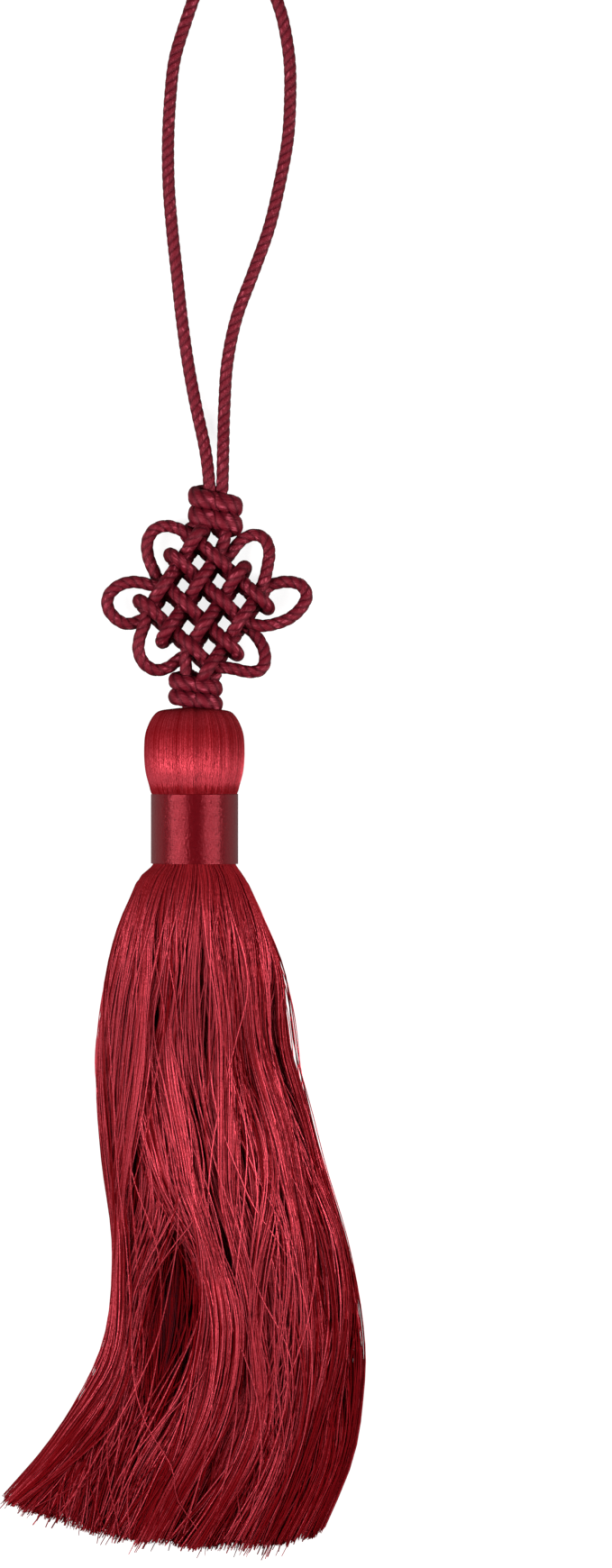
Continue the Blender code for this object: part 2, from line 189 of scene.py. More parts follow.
def lofted(name: str, rings: list[Array], material: Material) -> Object:
    """Join rings of points into one closed smooth body.

    Args:
        name: the object's name.
        rings: rings of equally many points, in order along the body.
        material: its finish.

    Returns:
        The object.
    """
    count = len(rings[0])
    faces = [(row * count + step, row * count + (step + 1) % count,
              (row + 1) * count + (step + 1) % count, (row + 1) * count + step)
             for row in range(len(rings) - 1) for step in range(count)]
    faces.append(tuple(reversed(range(count))))
    faces.append(tuple(range((len(rings) - 1) * count, len(rings) * count)))
    mesh = bpy.data.meshes.new(name)
    mesh.from_pydata([tuple(point) for point in np.concatenate(rings)], [], faces)
    mesh.materials.append(material)
    mesh.shade_smooth()
    return added(name, mesh)


# --- node trees ---------------------------------------------------------------------------------
class Graph:
    """A node tree under construction, with short calls for its most common nodes."""

    def __init__(self, tree: bpy.types.NodeTree) -> None:
        """Start from an existing tree."""
        self.tree = tree

    def face(self, side: str, **kinds: str) -> None:
        """Name the tree's own sockets.

        Args:
            side: INPUT or OUTPUT.
            kinds: each socket's kind, by its name with underscores for spaces.
        """
        for name, kind in kinds.items():
            self.tree.interface.new_socket(name.replace("_", " "), in_out=side,
                                           socket_type=f"NodeSocket{kind}")

    def feed(self, node: Node, inputs: dict[str | int, object]) -> None:
        """Feed a node's inputs.

        Args:
            node: the node.
            inputs: by each input's name or number, a socket to link to it or a value to set.
        """
        for key, value in inputs.items():
            if isinstance(value, bpy.types.NodeSocket):
                self.tree.links.new(value, node.inputs[key])
            else:
                node.inputs[key].default_value = value

    def add(self, kind: str, inputs: dict[str | int, object] | None = None,
            **settings: object) -> Node:
        """Add a node.

        Args:
            kind: the node's type name.
            inputs: what its inputs are fed with.
            settings: values for the node's own properties.

        Returns:
            The node.
        """
        node = self.tree.nodes.new(kind)
        for name, value in settings.items():
            setattr(node, name, value)
        self.feed(node, inputs or {})
        return node

    def math(self, operation: str, *values: object) -> Socket:
        """Add one step of arithmetic on sockets or numbers."""
        return self.add("ShaderNodeMath", dict(enumerate(values)), operation=operation).outputs["Value"]

    def vector(self, operation: str, inputs: dict[str | int, object]) -> Socket:
        """Add one step of arithmetic on vectors."""
        return self.add("ShaderNodeVectorMath", inputs, operation=operation).outputs["Vector"]

    def combine(self, **parts: object) -> Socket:
        """Make a vector of its X, Y and Z."""
        return self.add("ShaderNodeCombineXYZ", parts).outputs["Vector"]

    def ramp(self, value: object, low: float, high: float) -> Socket:
        """Map low to high smoothly onto 0 to 1."""
        return self.add("ShaderNodeMapRange", {"Value": value, "From Min": low, "From Max": high},
                        interpolation_type="SMOOTHSTEP").outputs["Result"]

    def mix(self, share: object, first: Socket | Colour, second: Socket | Colour) -> Socket:
        """Blend two colours.

        Args:
            share: how much of the second colour shows.
            first: a colour or a socket.
            second: a colour or a socket.

        Returns:
            The blended colour's socket.
        """
        node = self.add("ShaderNodeMix", data_type="RGBA")
        places = {item.identifier: place for place, item in enumerate(node.inputs)}
        blend = {"Factor": share}
        for letter, value in (("A", first), ("B", second)):
            blend[places[f"{letter}_Color"]] = value if isinstance(value, Socket) else (*value, 1.0)
        self.feed(node, blend)
        return next(item for item in node.outputs if item.identifier == "Result_Color")


class ShapeTree(Graph):
    """A Geometry Nodes tree that turns guide lines into a finished mesh."""
    title: ClassVar[str]
    sizes: ClassVar[dict[str, str]]        # its own inputs: each one's name and kind of socket

    def __init__(self) -> None:
        """Make the tree with its named inputs, and build its nodes."""
        super().__init__(bpy.data.node_groups.new(self.title, "GeometryNodeTree"))
        self.face("INPUT", Geometry="Geometry", **self.sizes, Material="Material")
        self.face("OUTPUT", Geometry="Geometry")
        self.given = self.add("NodeGroupInput").outputs
        shape = self.step("GeometryNodeSetShadeSmooth", self.build(self.given["Geometry"]))
        shape = self.step("GeometryNodeRealizeInstances", shape)
        shape = self.step("GeometryNodeSetMaterial", shape, {"Material": self.given["Material"]})
        self.add("NodeGroupOutput", {"Geometry": shape})

    def build(self, guides: Socket) -> Socket:
        """Turn the geometry that comes in into the shape."""
        raise NotImplementedError

    def step(self, kind: str, shape: Socket, inputs: dict[str | int, object] | None = None,
             **settings: object) -> Socket:
        """Pass the shape on through one more node.

        Args:
            kind: the node's type name.
            shape: the geometry, which goes into its first input.
            inputs: what its other inputs are fed with.
            settings: values for the node's own properties.

        Returns:
            The geometry that comes out.
        """
        return self.add(kind, {0: shape, **(inputs or {})}, **settings).outputs[0]

    def along(self) -> Socket:
        """The distance along a curve."""
        return self.add("GeometryNodeSplineParameter").outputs["Length"]

    def store(self, shape: Socket, name: str, value: object, kind: str = "FLOAT") -> Socket:
        """Keep a value on each point under a name."""
        return self.step("GeometryNodeStoreNamedAttribute", shape, {"Name": name, "Value": value},
                         data_type=kind, domain="POINT")

    def read(self, name: str, kind: str = "FLOAT") -> Socket:
        """Read a value that each point carries under a name."""
        node = self.add("GeometryNodeInputNamedAttribute", {"Name": name}, data_type=kind)
        return node.outputs["Attribute"]

    def circle(self, sides: object, diameter: object) -> Socket:
        """A round profile."""
        sizes = {"Resolution": sides, "Radius": self.math("MULTIPLY", diameter, 0.5)}
        return self.add("GeometryNodeCurvePrimitiveCircle", sizes, mode="RADIUS").outputs["Curve"]

    def sweep(self, line: Socket, profile: Socket, scale: object = 1.0) -> Socket:
        """Draw a profile along a line, with closed ends."""
        return self.step("GeometryNodeCurveToMesh", line,
                         {"Profile Curve": profile, "Scale": scale, "Fill Caps": True})

    def without(self, shape: Socket, *names: str) -> Socket:
        """Drop the values that only the tree needs."""
        for name in names:
            shape = self.step("GeometryNodeRemoveAttribute", shape, {"Name": name})
        return shape

    def run(self, name: str, guide: Object, material: Material, **values: object) -> Object:
        """Run the tree on a guide and keep its result as a plain mesh.

        Args:
            name: the finished piece's name.
            guide: the object that holds the guide lines, which is used up.
            material: the finish that Set Material gives.
            values: the inputs, named as in sizes.

        Returns:
            The finished piece.
        """
        modifier = guide.modifiers.new(self.title, "NODES")
        modifier.node_group = self.tree
        given = {key.replace("_", " "): value for key, value in values.items()}
        given["Material"] = material
        for item in self.tree.interface.items_tree:
            if item.in_out == "INPUT" and item.name in given:
                modifier[item.identifier] = given.pop(item.name)
        if given:
            raise ValueError(f"{self.title} has no input named {sorted(given)}")
        graph = bpy.context.evaluated_depsgraph_get()
        mesh = bpy.data.meshes.new_from_object(guide.evaluated_get(graph),
                                               preserve_all_data_layers=True, depsgraph=graph)
        guide.modifiers.remove(modifier)
        bpy.data.objects.remove(guide, do_unlink=True)
        mesh.name = name
        return added(name, mesh)


class RopeTree(ShapeTree):
    """Draws a twisted cord along its guide: round plies laid together, with grooves between."""
    title = "twisted_cord"
    sizes = {"Diameter": "Float", "Groove": "Float", "Lay_Length": "Float", "Step": "Float",
             "Plies": "Int", "Ply_Points": "Int"}

    def build(self, guides: Socket) -> Socket:
        """Twist a lobed section along the guide line.

        Args:
            guides: a mesh of guide lines.

        Returns:
            The cord's mesh.
        """
        given, along = self.given, self.along()
        curve = self.step("GeometryNodeResampleCurve", self.step("GeometryNodeMeshToCurve", guides),
                          {"Length": given["Step"]}, mode="LENGTH")
        turned = self.math("MULTIPLY", self.math("DIVIDE", along, given["Lay Length"]), math.tau)
        line = self.store(self.store(curve, "along", along), "turned", turned)
        line = self.step("GeometryNodeSetCurveTilt", line, {"Tilt": self.read("turned")})

        half = self.math("MULTIPLY", given["Ply Points"], 0.5)
        index = self.add("GeometryNodeInputIndex").outputs["Index"]
        crown = self.math("DIVIDE", self.math("PINGPONG", index, half), half)
        bulge = self.math("SQRT", self.math("MULTIPLY", crown, self.math("SUBTRACT", 2.0, crown)))
        sunk = self.math("MULTIPLY", given["Groove"], self.math("SUBTRACT", 1.0, bulge))
        points = self.math("MULTIPLY", given["Plies"], given["Ply Points"])
        section = self.store(self.circle(points, given["Diameter"]), "crown", crown)
        place = self.add("GeometryNodeInputPosition").outputs["Position"]
        drawn_in = self.vector("SCALE", {"Vector": place, "Scale": self.math("SUBTRACT", 1.0, sunk)})
        section = self.step("GeometryNodeSetPosition", section, {"Position": drawn_in})
        section = self.store(section, "section", place, "FLOAT_VECTOR")

        mesh = self.sweep(line, section)
        turn = self.add("ShaderNodeVectorRotate", {
            "Vector": self.read("section", "FLOAT_VECTOR"), "Angle": self.read("turned"),
        }, rotation_type="Z_AXIS")
        lay = self.vector("ADD", {0: turn.outputs["Vector"], 1: self.combine(Z=self.read("along"))})
        return self.without(self.store(mesh, "lay", lay, "FLOAT_VECTOR"), "section", "turned", "along")


class ThreadTree(ShapeTree):
    """Draws a fine thread along every guide line, as thick as the line's girth says."""
    title = "fine_threads"
    sizes = {"Diameter": "Float", "Sides": "Int"}

    def build(self, guides: Socket) -> Socket:
        """Sweep a small polygon along each guide line.

        Args:
            guides: a mesh of guide lines that carry girth, tone and strand.

        Returns:
            The threads' mesh.
        """
        line = self.store(self.step("GeometryNodeMeshToCurve", guides), "along", self.along())
        section = self.circle(self.given["Sides"], self.given["Diameter"])
        return self.without(self.sweep(line, section, self.read("girth")), "girth")


class WindingTree(ShapeTree):
    """Winds a flat floss round an axis along Y, one turn beside the next."""
    title = "wound_floss"
    sizes = {"Radius": "Float", "Length": "Float", "Turns": "Float", "Turn_Points": "Int",
             "Floss_Width": "Float", "Floss_Height": "Float", "Centre": "Vector"}
    floss_sides: ClassVar[int] = 6

    def build(self, guides: Socket) -> Socket:
        """Sweep the floss along a spiral, and lay the spiral along Y.

        Args:
            guides: the incoming geometry, which the winding doesn't need.

        Returns:
            The winding's mesh.
        """
        given = self.given
        spiral = self.add("GeometryNodeCurveSpiral", {
            "Resolution": given["Turn Points"], "Rotations": given["Turns"],
            "Start Radius": given["Radius"], "End Radius": given["Radius"], "Height": given["Length"],
        })
        line = self.step("GeometryNodeSetCurveNormal", spiral.outputs["Curve"], mode="Z_UP")
        size = self.combine(X=given["Floss Height"], Y=given["Floss Width"], Z=1.0)
        flat = self.step("GeometryNodeTransform", self.circle(self.floss_sides, 1.0), {"Scale": size})
        mesh = self.sweep(self.store(line, "along", self.along()), flat)
        return self.step("GeometryNodeTransform", mesh, {
            "Rotation": (math.radians(90), 0.0, 0.0), "Translation": given["Centre"]})


# --- finishes -----------------------------------------------------------------------------------
class FibreGroup(Graph):
    """A shared shader group: fine fibres that run along a cord or thread, and flecks, which the cord
    paints as highlights and the satin raises as relief.
    """
    fleck_stretch: ClassVar[float] = 0.45
    fleck_edge: ClassVar[Point] = (0.56, 0.72)      # the noise where a fleck starts and is full

    def __init__(self) -> None:
        """Build the group once, for every finish to place with its own values."""
        super().__init__(bpy.data.node_groups.new("silk_fibres", "ShaderNodeTree"))
        self.face("INPUT", Lay="Vector", Fineness="Float", Stretch="Float", Fleck_Size="Float")
        self.face("OUTPUT", Fibres="Float", Flecks="Float")
        given = self.add("NodeGroupInput").outputs
        fibres = self.noise(given["Lay"], given["Fineness"], given["Stretch"], 2.0)
        scale = self.math("DIVIDE", 1.0, given["Fleck Size"])
        flecks = self.noise(given["Lay"], scale, self.fleck_stretch, 1.0)
        self.add("NodeGroupOutput", {"Fibres": fibres, "Flecks": self.ramp(flecks, *self.fleck_edge)})

    def noise(self, lay: Socket, scale: object, stretch: object, detail: float) -> Socket:
        """Noise drawn out along the cord.

        Args:
            lay: the place in the straightened cord.
            scale: how fine the noise is, across.
            stretch: its fineness along the cord, as a share of that across.
            detail: octaves of finer noise.

        Returns:
            The noise's socket.
        """
        drawn = self.vector("MULTIPLY", {0: lay, 1: self.combine(X=1.0, Y=1.0, Z=stretch)})
        node = self.add("ShaderNodeTexNoise", {"Vector": drawn, "Scale": scale, "Detail": detail})
        return node.outputs["Fac"]


@dataclass(frozen=True)
class Sheen:
    """How a silk surface shines: constants for the shader's own sockets."""
    roughness: float
    specular: float
    tint: Colour = (1.0, 1.0, 1.0)
    ior: float = 1.5
    glow: float = 0.0       # how much the shine takes the silk's own colour

    def constants(self) -> dict[str, object]:
        """The constants, by the names of the sockets."""
        return {"Roughness": self.roughness, "IOR": self.ior, "Specular IOR Level": self.specular,
                "Specular Tint": (*self.tint, 1.0), "Metallic": self.glow}


@dataclass(frozen=True)
class Grain:
    """How the fibres of a surface lie, and the relief that they give it."""
    fineness: float         # fibres in a metre, about
    stretch: float          # their fineness along the thread, as a share of that across
    fleck: float            # size of a light fleck, in metres
    relief: float           # depth of the relief, in metres
    strength: float         # how much of it shows


class Finish(Graph):
    """A material under construction."""

    def __init__(self, name: str, sheen: Sheen) -> None:
        """Make the material with a Principled shader."""
        self.material = bpy.data.materials.new(name)
        self.material.use_nodes = True
        super().__init__(self.material.node_tree)
        self.shader = self.tree.nodes["Principled BSDF"]
        self.feed(self.shader, sheen.constants())

    def attribute(self, name: str, output: str = "Fac") -> Socket:
        """Read an attribute of the mesh."""
        return self.add("ShaderNodeAttribute", attribute_name=name).outputs[output]

    def fibres(self, group: FibreGroup, lay: Socket, grain: Grain) -> tuple[Socket, Socket]:
        """Place the shared fibre group with this finish's own values.

        Args:
            group: the shared group.
            lay: the socket of places that it reads.
            grain: how the fibres lie.

        Returns:
            The fibres and the flecks.
        """
        node = self.add("ShaderNodeGroup", node_tree=group.tree)
        self.feed(node, {"Lay": lay, "Fineness": grain.fineness, "Stretch": grain.stretch,
                         "Fleck Size": grain.fleck})
        return node.outputs["Fibres"], node.outputs["Flecks"]

    def show(self, colour: Socket, height: Socket, grain: Grain) -> Material:
        """Give the surface its colour and its relief.

        Args:
            colour: the colour's socket.
            height: the relief's socket.
            grain: how deep the relief is.

        Returns:
            The finished material.
        """
        bump = self.add("ShaderNodeBump", {"Distance": grain.relief, "Strength": grain.strength,
                                           "Height": height})
        self.feed(self.shader, {"Base Color": colour, "Normal": bump.outputs["Normal"]})
        return self.material


@dataclass(frozen=True)
class CordFinish:
    """Matt twisted knotting cord, with painted shade in its grooves and painted highlights as light
    flecks on its plies.
    """
    # groove is painted shade between the plies; fleck is a painted highlight on their crowns
    groove: Colour = (0.034, 0.0010, 0.0035)
    ply: Colour = (0.080, 0.0034, 0.0084)
    fleck: Colour = (0.26, 0.040, 0.062)
    crown_full: float = 0.75                # how far up a ply its own colour is reached
    streak_edge: Point = (0.4, 0.55)        # the fibre noise where a fleck starts and is full
    sheen: Sheen = Sheen(roughness=0.50, specular=0.5, tint=(1.0, 0.20, 0.27))
    grain: Grain = Grain(3800.0, 0.22, 0.7 * MM, 0.20 * MM, 0.9)

    def material(self, group: FibreGroup) -> Material:
        """Build the finish.

        Args:
            group: the shared fibre group.

        Returns:
            The material.
        """
        finish = Finish(Slot.CORD.value, self.sheen)
        fibres, flecks = finish.fibres(group, finish.attribute("lay", "Vector"), self.grain)
        crown = finish.ramp(finish.attribute("crown"), 0.0, self.crown_full)
        crown_highlight = finish.math("MULTIPLY", flecks, crown)
        painted_highlight = finish.math("MULTIPLY", crown_highlight, finish.ramp(fibres, *self.streak_edge))
        # Painted shade in the grooves, and painted highlights as streaked flecks on the crowns.
        body = finish.mix(crown, self.groove, self.ply)
        return finish.show(finish.mix(painted_highlight, body, self.fleck), fibres, self.grain)


@dataclass(frozen=True)
class ThreadFinish:
    """Glossy silk thread: each thread has its own tone, with painted shade mixed in at the roots, in the
    hollows and deep down, and it is lit unevenly along its length, partly by painted highlights.
    """
    shadow: Colour = (0.015, 0.0021, 0.0038)        # at a tone of -1
    deep: Colour = (0.120, 0.0, 0.0012)             # at a tone of 0
    bright: Colour = (0.43, 0.046, 0.064)           # at a tone of 1
    slub_length: float = 0.40 * MM
    slubs: float = 2.4                 # how uneven it is along it, as a share of its tone: slubs and painted highlights
    strand_step: float = 0.01          # the difference between two strands that look unlike
    dullest: float = 0.70              # the roughness of the darkest threads
    sheen: Sheen = Sheen(roughness=0.30, specular=0.5, tint=(1.0, 0.12, 0.16), glow=0.45)
    grain: Grain = Grain(1.0, 1.0, 4.0, 0.05 * MM, 0.5)

    def material(self, group: FibreGroup) -> Material:
        """Build the finish.

        Args:
            group: the shared fibre group.

        Returns:
            The material.
        """
        finish = Finish(Slot.THREAD.value, self.sheen)
        place = finish.combine(
            X=finish.math("DIVIDE", finish.attribute("strand"), self.strand_step),
            Z=finish.math("DIVIDE", finish.attribute("along"), self.slub_length))
        fibres = finish.fibres(group, place, self.grain)[0]
        slub = finish.math("SUBTRACT", fibres, 0.5)
        uneven = finish.math("ADD", finish.math("MULTIPLY", slub, self.slubs), 1.0)
        # The tone carries painted shade, and the slubs add painted highlights dotted along the thread.
        lit = finish.math("MULTIPLY", finish.attribute("tone"), uneven)
        shade = finish.ramp(lit, 0.0, 1.0)
        dark = finish.mix(finish.ramp(lit, -1.0, 0.0), self.shadow, self.deep)
        dull = finish.math("MULTIPLY", shade, self.sheen.roughness - self.dullest)
        finish.feed(finish.shader, {"Roughness": finish.math("ADD", dull, self.dullest)})
        return finish.show(finish.mix(shade, dark, self.bright), fibres, self.grain)


@dataclass(frozen=True)
class SatinFinish:
    """Wound satin floss round the neck: smooth, deep red, with soft slubs."""
    deep: Colour = (0.044, 0.0009, 0.0022)
    bright: Colour = (0.086, 0.0020, 0.0044)
    slubs: float = 0.3                 # how high the flecks stand over the fibres
    sheen: Sheen = Sheen(roughness=0.23, specular=1.0, tint=(1.0, 0.13, 0.17), ior=1.62)
    grain: Grain = Grain(1900.0, 0.9, 0.7 * MM, 0.10 * MM, 0.6)

    def material(self, group: FibreGroup) -> Material:
        """Build the finish.

        Args:
            group: the shared fibre group.

        Returns:
            The material.
        """
        finish = Finish(Slot.SATIN.value, self.sheen)
        place = finish.add("ShaderNodeTexCoord").outputs["Object"]
        fibres, flecks = finish.fibres(group, place, self.grain)
        height = finish.math("ADD", fibres, finish.math("MULTIPLY", flecks, self.slubs))
        return finish.show(finish.mix(fibres, self.deep, self.bright), height, self.grain)


# --- sub-assemblies -----------------------------------------------------------------------------
def fit(piece: Object, part: Part) -> None:
    """Attach a piece to the frame's body, and hide the imported part that it stands for."""
    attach(piece, BODY)
    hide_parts(part.value)


@dataclass
class Assembly:
    """A sub-assembly, with the tree that draws it and the finish of its pieces."""
    slot: ClassVar[Slot]
    part: ClassVar[Part]
    tree: ShapeTree
    material: Material

    def shapes(self) -> list[Object]:
        """Make the pieces."""
        raise NotImplementedError

    def build(self) -> list[Object]:
        """Make the pieces and fit each to the frame.

        Returns:
            The pieces.
        """
        pieces = self.shapes()
        for piece in pieces:
            fit(piece, self.part)
        return pieces


# --- cords --------------------------------------------------------------------------------------
@dataclass(frozen=True)
class Rope:
    """The sizes of the twisted cord."""
    diameter: float = 2.5 * MM
    fullness: float = 1.06         # the crowns of the plies stand a little proud of the diameter
    plies: int = 3
    ply_points: int = 8
    groove: float = 0.13
    lay_length: float = 5.8 * MM
    step: float = 0.36 * MM

    def along(self, name: str, route: Array, tree: ShapeTree, material: Material) -> Object:
        """Make the cord along a route.

        Args:
            name: the piece's name.
            route: the points of its middle line.
            tree: the cord's node tree.
            material: its finish.

        Returns:
            The cord.
        """
        return tree.run(name, guide_lines(f"{name}_guide", [route]), material,
                        Diameter=self.diameter * self.fullness, Groove=self.groove,
                        Lay_Length=self.lay_length, Step=self.step, Plies=self.plies,
                        Ply_Points=self.ply_points)


@dataclass(frozen=True)
class KnotPlane:
    """The leaning plane that the knot lies in, from the head down to the surface."""
    high_y: float = 8.2 * MM
    high_z: float = 9.9 * MM
    low_y: float = 53.0 * MM
    low_z: float = 3.9 * MM

    def lean(self, points: Array) -> Array:
        """Set points that are given from the plane at their real height.

        Args:
            points: points in the plane's own depth.

        Returns:
            The points in the tassel's frame.
        """
        share = (points[:, 1] - self.high_y) / (self.low_y - self.high_y)
        height = self.high_z + (self.low_z - self.high_z) * share
        return points + np.column_stack([np.zeros((len(points), 2)), height])


LOOP_ROUTE: Route = (   # the hanging loop's middle line on the surface, in millimetres
    (3.0, 53.0), (2.7, 57.0), (1.9, 62.5), (0.2, 70.3), (-1.5, 79.5), (-2.8, 88.8), (-3.8, 98.0),
    (-4.8, 107.3), (-5.5, 116.5), (-5.6, 125.8), (-5.1, 135.1), (-4.2, 142.4), (-2.0, 149.8),
    (0.6, 157.2), (3.7, 164.3), (7.8, 168.0), (12.0, 166.1), (14.8, 160.0), (16.8, 154.5),
    (18.2, 149.8), (19.4, 142.4), (19.6, 135.1), (19.1, 125.8), (17.4, 116.5), (15.2, 107.3),
    (11.9, 98.0), (8.5, 88.8), (6.6, 79.5), (6.0, 70.3), (5.8, 62.5), (5.7, 57.0), (5.6, 53.0),
)


@dataclass
class HangingLoop(Assembly):
    """The free loop of cord, from one side of the upper small knot round to the other."""
    slot = Slot.CORD
    part = Part.LOOP
    rope: Rope = Rope()
    plane: KnotPlane = KnotPlane()
    landed_y: float = 76.0 * MM
    lift: float = 0.10 * MM        # of its middle line, over half a diameter
    step: float = 0.75 * MM

    def route(self) -> Array:
        """The loop's middle line: down from the knot to the surface, then along it."""
        flat = np.array(LOOP_ROUTE) * MM
        resting = self.rope.diameter / 2 + self.lift
        share = (flat[:, 1] - self.plane.low_y) / (self.landed_y - self.plane.low_y)
        height = self.plane.low_z + (resting - self.plane.low_z) * smoothstep(share)
        return smooth_route(np.column_stack([flat, height]), self.step)

    def shapes(self) -> list[Object]:
        """Make the loop."""
        return [self.rope.along("hanging_loop_cord", self.route(), self.tree, self.material)]

    def build(self) -> list[Object]:
        """Returns:
            The loop, in a list.
        """
        (loop,) = super().build()
        route = self.route()
        return [loop]


@dataclass(kw_only=True)
class ConnectionKnot(Assembly):
    """A double connection knot: two flattened turns of cord round the pair of cords."""
    slot = Slot.CORD
    part = Part.KNOT
    name: str
    x: float                       # its middle, its ends and its half sizes, in millimetres
    bottom: float
    top: float
    half_width: float
    half_depth: float
    slant: float
    rope: Rope = Rope()
    plane: KnotPlane = KnotPlane()
    turns: int = 2
    turn_points: int = 40
    saddle: float = 0.7 * MM       # how far the front dips where the two cords' lobes meet
    saddle_width: float = 1.1 * MM
    step: float = 0.2 * MM

    def flattening(self) -> float:
        """How much wider than thick the cord has become."""
        return (self.top - self.bottom) * MM / (self.turns * self.rope.diameter)

    def route(self) -> Array:
        """The wraps' middle line before the cord is flattened, about the knot's own middle."""
        radius = self.rope.diameter / 2
        angle = np.linspace(-0.5 * math.pi, (2 * self.turns - 0.5) * math.pi,
                            self.turns * self.turn_points + 1)
        aside = -(self.half_width * MM - radius) * np.cos(angle)
        dip = self.saddle * np.exp(-(aside / self.saddle_width) ** 2)
        depth = (self.half_depth * MM - radius - dip) * np.sin(angle)
        rise = self.rope.diameter * ((angle - angle[0]) / math.tau - self.turns / 2)
        wraps = np.column_stack([aside, -rise + self.slant * aside / self.flattening(), depth])
        tucked = np.array([(0.0, 0.5 * radius, 0.5 * radius), (0.0, radius, 0.0)])
        return smooth_route(np.vstack([wraps[0] - tucked[::-1] * (0, 1, -1), wraps[1:-1],
                                       wraps[-1] + tucked]), self.step, samples=2)

    def shapes(self) -> list[Object]:
        """Make the wraps, and flatten them into their place.

        Returns:
            The wraps, in a list.
        """
        wraps = self.rope.along(self.name, self.route(), self.tree, self.material)
        points = np.zeros(len(wraps.data.vertices) * 3, np.float32)
        wraps.data.vertices.foreach_get("co", points)
        points = points.reshape(-1, 3).astype(float)
        points[:, 1] *= self.flattening()
        points += (self.x * MM, (self.top + self.bottom) / 2 * MM, 0.0)
        wraps.data.vertices.foreach_set("co", self.plane.lean(points).astype(np.float32).ravel())
        wraps.data.update()
        return [wraps]


@dataclass(frozen=True)
class Run:
    """One run through the woven knot: over its four crossings and back on the other face."""
    is_column: bool                # and not a row
    number: int                    # counted from 1
    from_last: bool = False        # whether it starts at its last crossing


@dataclass(frozen=True)
class Strand:
    """One strand's way through the woven knot, its leads and ears in millimetres."""
    name: str
    first: Face
    lead_in: Route
    entry: Route
    runs: tuple[Run, ...]
    ears: tuple[Route, ...]        # between one run and the next
    exit: Route
    lead_out: Route


RIGHT_STRAND = Strand(
    "pan_chang_right_strand", Face.FRONT,
    lead_in=((5.5, 53.6), (5.4, 50.2)),
    entry=((5.9, 47.5), (6.3, 44.8), (5.9, 42.2)),
    runs=(Run(True, 2), Run(True, 4), Run(False, 2, True), Run(False, 4, True)),
    ears=(((6.8, 39.4), (8.3, 41.4), (10.0, 43.1), (12.4, 43.9), (14.4, 42.9), (15.3, 40.5),
           (15.0, 37.6), (14.2, 34.2)),
          ((15.0, 33.1), (16.8, 33.9), (19.2, 34.2), (21.8, 33.5), (23.0, 31.3), (21.8, 28.7),
           (19.4, 26.6), (16.3, 25.4), (13.3, 25.1)),
          ((11.5, 24.2), (13.0, 22.5), (14.2, 20.2), (14.4, 17.6), (13.3, 15.9), (10.9, 15.6),
           (8.1, 16.2), (5.9, 16.5))),
    exit=((4.4, 15.2), (3.1, 13.5), (2.6, 11.6)),
    lead_out=((1.9, 9.0), (1.4, 6.6)),
)
LEFT_STRAND = Strand(
    "pan_chang_left_strand", Face.BACK,
    lead_in=((3.0, 53.6), (2.9, 50.0)),
    entry=((1.9, 46.9), (-0.6, 45.5), (-1.9, 44.2), (-1.3, 43.1)),
    runs=(Run(False, 1), Run(False, 3), Run(True, 1, True), Run(True, 3, True)),
    ears=(((-1.7, 44.2), (-3.7, 45.2), (-6.1, 45.7), (-8.5, 44.8), (-9.8, 42.4), (-9.6, 39.4),
           (-8.5, 36.6)),
          ((-8.3, 33.3), (-10.7, 33.9), (-13.1, 34.1), (-15.7, 33.3), (-17.7, 31.3), (-17.8, 28.7),
           (-16.1, 26.5), (-13.9, 25.5), (-11.5, 26.1)),
          ((-10.2, 25.5), (-11.2, 22.8), (-11.5, 20.0), (-10.4, 17.4), (-8.1, 16.0), (-5.5, 16.5),
           (-3.1, 18.3))),
    exit=((-1.8, 17.8), (-1.6, 14.4), (-1.6, 11.6)),
    lead_out=((-1.3, 9.0), (-1.1, 6.6)),
)


